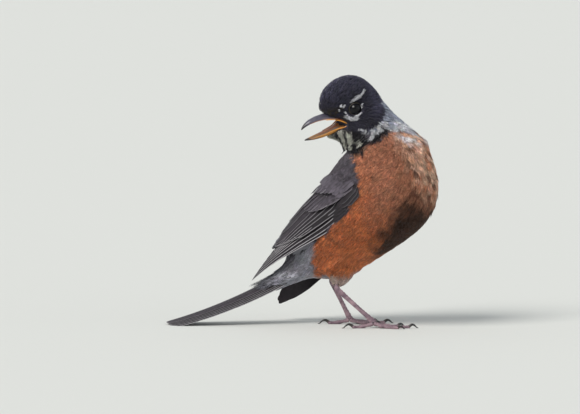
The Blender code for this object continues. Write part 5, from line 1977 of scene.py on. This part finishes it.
@dataclass
class Plumage:
    """Says where each tract lies and grows them all."""

    form: Form
    coat: Coat
    finish: Material

    def covered(self, points: Array) -> Array:
        """1 where flight feathers and greater coverts hide the body."""
        hidden = np.zeros(len(points))
        w = TRUNK.local(points)[:, 2]
        stops = (-16, -8, 6, 19, 32, 46, 60)
        for side, wing in self.coat.markings.wings.items():
            a, angle = wing.angle_of(points)
            low = np.interp(-a, stops, (10, 5, 1, 3, 6, 12, 18))
            high = np.interp(-a, stops, (24, 44, 62, 62, 56, 52, 50))
            on = smooth(-1.0, 1.5, angle - low) * smooth(1.0, -2.0, angle - high)
            hidden = np.maximum(hidden, on * smooth(16, 12, a) * smooth(-56, -50, a) * (w * side.sign > 0))
        return hidden

    @staticmethod
    def head_gap(points: Array) -> Array:
        """0 where bill, mouth or an eye stands, 1 elsewhere."""
        f, side, g = HEAD.local(points).T
        free = np.ones(len(points))
        for middle, aim in map(eye_axis, Side):
            off = points - middle
            depth = off @ aim
            away = np.linalg.norm(off - depth[:, None] * aim, axis=1)
            rear = smooth(0.0, -3.0, off @ HEAD.rows[0])
            free = free * np.where(depth > 0, smooth(-0.1, 0.1, away - 4.6 + 0.9 * rear), 1.0)
        stops = (2.5, 3.9, 5.2, 7.0, 9.5, 12.0, 16.0)
        top = np.interp(f, stops, (-10.4, -9.6, -8.8, -7.2, -5.2, -3.9, -2.2))
        low = np.interp(f, stops, (-10.8, -11.2, -11.6, -12.0, -12.4, -12.8, -13.4))
        wide = np.interp(f, (-2, 4, 9, 12, 16), (6.2, 6.0, 4.4, 3.4, 2.4))
        side = np.abs(side)
        mouth = (f > 3.2) & (g < top) & (g > low) & (side < 10.8)
        throat = (f > -3) & (side < wide) & (g < -4) & (g > -13.0)
        bill = (f > 15.8) & (g > -14.0) & (g < 0.6) & (side < 6.5)
        return free * ~(mouth | throat | bill)

    @staticmethod
    def head_near(points: Array, more: float = 0.0) -> Array:
        """1 on the head and so much more of the neck, 0 beyond."""
        f, _, g = HEAD.local(points).T
        line = np.interp(f, (-30, -22, -12, 0, 10, 22), (4, -8, -17, -22, -26, -32))
        return smooth(-0.8, 0.8, g - line + more) * smooth(-27, -24, f + more)

    def zones(self, points: Array) -> Dict[str, Array]:
        """Share of each tract at points."""
        marks = self.coat.markings
        a, v, w = TRUNK.local(points).T
        f, _, g = HEAD.local(points).T
        body = (1 - self.head_near(points)) * (1 - self.covered(points))
        thigh = smooth(36, 33, points[:, 2]) * smooth(2, 6, v) * smooth(-62, -56, a)
        edge = np.interp(a, (-60, -20, 10, 20, 26, 35, 45, 60), (-4, -4, -10, -16, -22, -19, -12, -8))
        upper = np.maximum(smooth(-0.5, 0.5, edge - v), marks.on_wing(points) > 0.5)
        under = body * (1 - upper)
        ruff = smooth(53, 55, a + 0.55 * v) * smooth(27, 24, np.abs(w)) * smooth(-13, -10, v)
        front, belly, vent = a + 0.2 * v, a + 1.23 * v, smooth(-25, -27, a)
        rear = np.maximum(upper * vent, (1 - upper) * smooth(-48, -50, belly))
        gap = self.head_gap(points)
        clear = (line_gap(f, g, marks.brow) > 0.6) & (line_gap(f, g, marks.crescent) > 0.6)
        return {
            "breast": under * smooth(11.5, 12.5, front) * gap * (1 - ruff),
            "ruff": under * ruff * gap,
            "flank": under * smooth(12.5, 11.5, front) * smooth(-50, -48, belly) * (1 - thigh),
            "back": body * upper * smooth(-27, -25, a),
            "stern": body * np.minimum(rear, 1) * (1 - thigh),
            "thighs": thigh,
            "hood": self.head_near(points, 2.5) * gap * smooth(-12.5, -11.5, g) * clear,
            "throat": self.head_near(points, 4.0) * gap * smooth(-11.5, -12.5, g),
        }

    def tracts(self) -> List[Tract]:
        """All the tracts, with their places and sizes."""

        def breast_size(points: Array) -> Array:
            return 1.0 - 0.3 * smooth(28, 52, TRUNK.local(points)[:, 0])

        def back_size(points: Array) -> Array:
            a = TRUNK.local(points)[:, 0]
            shoulder = self.coat.markings.on_wing(points) * smooth(10, 25, a)
            return (1.0 - 0.3 * smooth(28, 56, a)) * (1 - 0.25 * shoulder)

        def leg_size(points: Array) -> Array:
            return 0.72 + 0.28 * smooth(27, 35, points[:, 2])

        def throat_size(points: Array) -> Array:
            bill = smooth(4, 14, np.linalg.norm(points - HEAD.at(19, 0, -12), axis=1))
            return np.minimum(0.5 + 0.5 * bill, 0.35 + 0.65 * face_size(points))

        rows = (
            ("breast", 2.2, 10.5, 5.6, "rufous", 52, 0.2, 0.12, 0.14, 0.22, 9, 0.3, 2, breast_size, 0.3),
            ("ruff", 2.0, 10.5, 4.4, "rufous", 54, 0.18, 0.3, 0.45, 0.2, 15, 0.6, 12, None, 0.3),
            ("flank", 2.5, 13.0, 6.2, "rufous", 58, 0.22, 0.15, 0.18, 0.22, 9, 0.35, 3, None, 0.3),
            ("back", 2.4, 10.5, 5.8, "grey", 44, 0.19, 0.1, 0.08, 0.3, 8, 0.25, 4, back_size, 0.46),
            ("stern", 2.5, 13.0, 5.8, "pale", 50, 0.2, 0.15, 0.18, 0.22, 9, 0.4, 5, None, 0.36),
            ("thighs", 1.5, 8.0, 2.8, "pale", 26, 0.15, 0.15, 0.2, 0.2, 12, 0.6, 6, leg_size, 0.45),
            ("hood", 1.5, 4.4, 2.7, "dark", 24, 0.12, 0.12, 0.1, 0.15, 9, 0.24, 7, face_size, 0.46, 0.14),
            ("throat", 1.3, 5.0, 1.9, "pale", 22, 0.11, 0.1, 0.12, 0.1, 8, 0.4, 8, throat_size, 0.42),
        )
        return [
            Tract(f"plumage_{n}", lambda p, key=n: self.zones(p)[key], *sizes, f"plumage_{slot}", *more)
            for n, *sizes, slot, more in ((*row[:5], row[5:]) for row in rows)
        ]

    def build(self) -> None:
        """Grows every tract."""
        for tract in self.tracts():
            self.coat.grow(tract, self.finish)
        self.eye_marks()
        self.streak_tips()

    def rows(self, arcs: Sequence, tract: Tract, pigment: Pigment) -> None:
        """Feathers set in rows on both sides of the head.

        Args:
            arcs: Rows: places ahead and up, or with the distance out; count, scatter and size.
            tract: Feather sizes.
            pigment: Their colour.
        """
        rng = np.random.default_rng(tract.seed)
        roots, sizes = [], []
        for side in Side:
            sign = side.sign
            for line, count, loose, size in arcs:
                line = np.array(line, float)
                share = np.linspace(0, 1, count)
                ahead, up, *out = resampled(line, share).T
                ahead, up = ahead + rng.normal(0, loose, count), up + rng.normal(0, loose, count)
                if out:
                    roots.append(self.coat.form.settle(HEAD.at(ahead, out[0] * sign, up), np.zeros(count)))
                else:
                    place = HEAD.at(ahead, np.full(count, 14.0 * sign), up)
                    roots.append(self.coat.form.drop(place, HEAD.rows[1] * sign))
                sizes += [size] * count
        points = np.concatenate(roots)
        tones = tuple(np.tile(np.array(tone), (len(points), 1)) for tone in (pigment.middle, pigment.rim))
        self.coat.grow(tract, self.finish, points, np.array(sizes), tones)

    def eye_marks(self) -> None:
        """The white arcs over and under the eyes and the strokes before them."""
        arcs = (
            (((0.6, 4.6), (-1.0, 4.8), (-2.6, 5.1), (-4.4, 5.9)), 60, 0.22, 0.8),
            (((-2.4, 5.6), (-4.6, 6.2), (-6.4, 7.4)), 26, 0.2, 0.9),
            (((-6.2, 7.2), (-8.4, 9.0)), 7, 0.08, 0.9),
            (((5.6, -4.8), (4.2, -6.3), (2.8, -6.6), (1.8, -5.9)), 60, 0.28, 0.8),
            (((5.0, -5.0), (3.4, -5.7), (1.6, -5.2), (0.2, -4.6)), 40, 0.12, 0.6),
            (((0.4, -4.7), (-1.2, -3.8), (-3.2, -2.0), (-4.6, -0.2), (-5.0, 1.2)), 60, 0.1, 0.6),
            (((8.6, 3.8), (8.9, 2.2)), 8, 0.08, 0.8),
            (((6.6, 3.2), (7.2, 1.2)), 8, 0.08, 0.8),
            (((10.2, 1.2), (10.0, 0.0)), 5, 0.08, 0.6),
            (((7.0, -1.6), (6.2, -2.4)), 6, 0.08, 0.7),
            (((6.2, -3.4), (5.6, -4.2)), 6, 0.08, 0.7),
        )
        tract = Tract(
            "plumage_eye_marks", np.zeros_like, 1, 2.6, 0.8, "plumage_pale", 14, 0.1, 0.85, 0.18, 0.1, 16,
            0.4, 9
        )
        self.rows(arcs, tract, Pigments.RIM_WHITE.value)

    def streak_tips(self) -> None:
        """Long black tufts that end the throat's streaks over the breast."""
        arcs = [
            (((ahead, up, out), (ahead - 0.3, up - 0.5, out)), 4, 0.12, size)
            for ahead, up, out, size in (
                (11, -25.4, 11.5, 0.8), (10.8, -25.8, 15, 1), (10, -25.2, 18.4, 1), (8.8, -25, 21.8, 0.9)
            )
        ]
        tract = Tract(
            "plumage_streak_tips", np.zeros_like, 1, 12.5, 1.3, "plumage_dark", 22, 0.13, 1.6, 0.15, 0.1, 6,
            0.3, 19
        )
        hanging = Coat(self.form, Hanging(), self.coat.skin, self.coat.markings)
        Plumage(self.form, hanging, self.finish).rows(arcs, tract, Pigments.STREAK.value)


# Stage and main


@dataclass
class Studio:
    """Pale floor, soft lights and the long-lens camera."""

    target: Tuple = (-7.3, -1.5, 78.0)
    distance: float = 3141.7
    rise: float = 4.0
    lens: float = 300.0

    def camera(self) -> None:
        """Adds the camera at its height and distance."""
        data = bpy.data.cameras.new("camera")
        data.lens = self.lens
        data.sensor_width = 36.0
        data.clip_start, data.clip_end = 0.05, 200.0
        obj = bpy.data.objects.new("camera", data)
        bpy.context.scene.collection.objects.link(obj)
        angle = math.radians(self.rise)
        back = Vector((0.0, -math.cos(angle), math.sin(angle)))
        obj.location = Vector(self.target) * MM + back * self.distance * MM
        obj.rotation_euler = (-back).to_track_quat("-Z", "Y").to_euler()
        bpy.context.scene.camera = obj

    def floor(self) -> None:
        """A wide pale floor."""
        Bench.clear()
        bpy.ops.mesh.primitive_plane_add(size=120.0, location=(0, 0, 0))
        obj = bpy.context.object
        obj.name = "floor"
        shader = Shader("pale_floor")
        shader.fix(Base_Color=(0.72, 0.73, 0.7, 1.0))
        shader.fix(Roughness=0.85, Specular_IOR_Level=0.1)
        obj.data.materials.append(shader.material)

    @staticmethod
    def sun(name: str, aim: Sequence[float], strength: float, spread: float, colour: Colour) -> None:
        """A soft far light shining along aim."""
        data = bpy.data.lights.new(name, "SUN")
        data.energy = strength
        data.angle = math.radians(spread)
        data.color = colour
        obj = bpy.data.objects.new(name, data)
        bpy.context.scene.collection.objects.link(obj)
        obj.rotation_euler = Vector(aim).to_track_quat("-Z", "Y").to_euler()

    def lights(self) -> None:
        """Key from the upper left front, weak fill, and a pale surround."""
        self.sun("key", (0.55, 0.62, -0.8), 2.4, 28.0, (1.0, 0.97, 0.93))
        self.sun("fill", (-0.8, 0.5, -0.25), 0.45, 60.0, (0.9, 0.95, 1.0))
        world = bpy.data.worlds.new("surround")
        bpy.context.scene.world = world
        world.use_nodes = True
        back = world.node_tree.nodes["Background"]
        back.inputs["Color"].default_value = (0.86, 0.9, 0.93, 1.0)
        back.inputs["Strength"].default_value = 0.55
        bpy.context.scene.view_settings.view_transform = "Standard"

    def build(self) -> None:
        """Sets the stage."""
        self.camera()
        self.floor()
        self.lights()


def main() -> None:
    """Builds the bird and its stage in order."""
    logging.basicConfig(level=logging.INFO, format="%(message)s")
    Studio().build()
    plumage = PlumageFinish().make()
    vane = FlightFinish().make()
    skin = Skin()
    form = skin.form()
    markings = Markings()
    LOG.info("outline grid %s", form.grid.shape)
    Plumage(form, Coat(form, Lie(), skin, markings), plumage).build()
    for side in Side:
        Wing(side, vane).build()
    Tail(vane).build()
    Bill().build(form)
    glossy = EyeFinish().make()
    lid = WetFinish("lid_skin", (0.05, 0.042, 0.026), (0.022, 0.018, 0.012), 0.5).make()
    scales, horn = LegFinish().make(), ClawFinish().make()
    for side in Side:
        eye = Eye(side)
        eye.ball(glossy)
        eye.lids(lid)
        Leg(side, scales, horn).build()
    skin.build(form, markings, plumage)


if __name__ == "__main__":
    main()
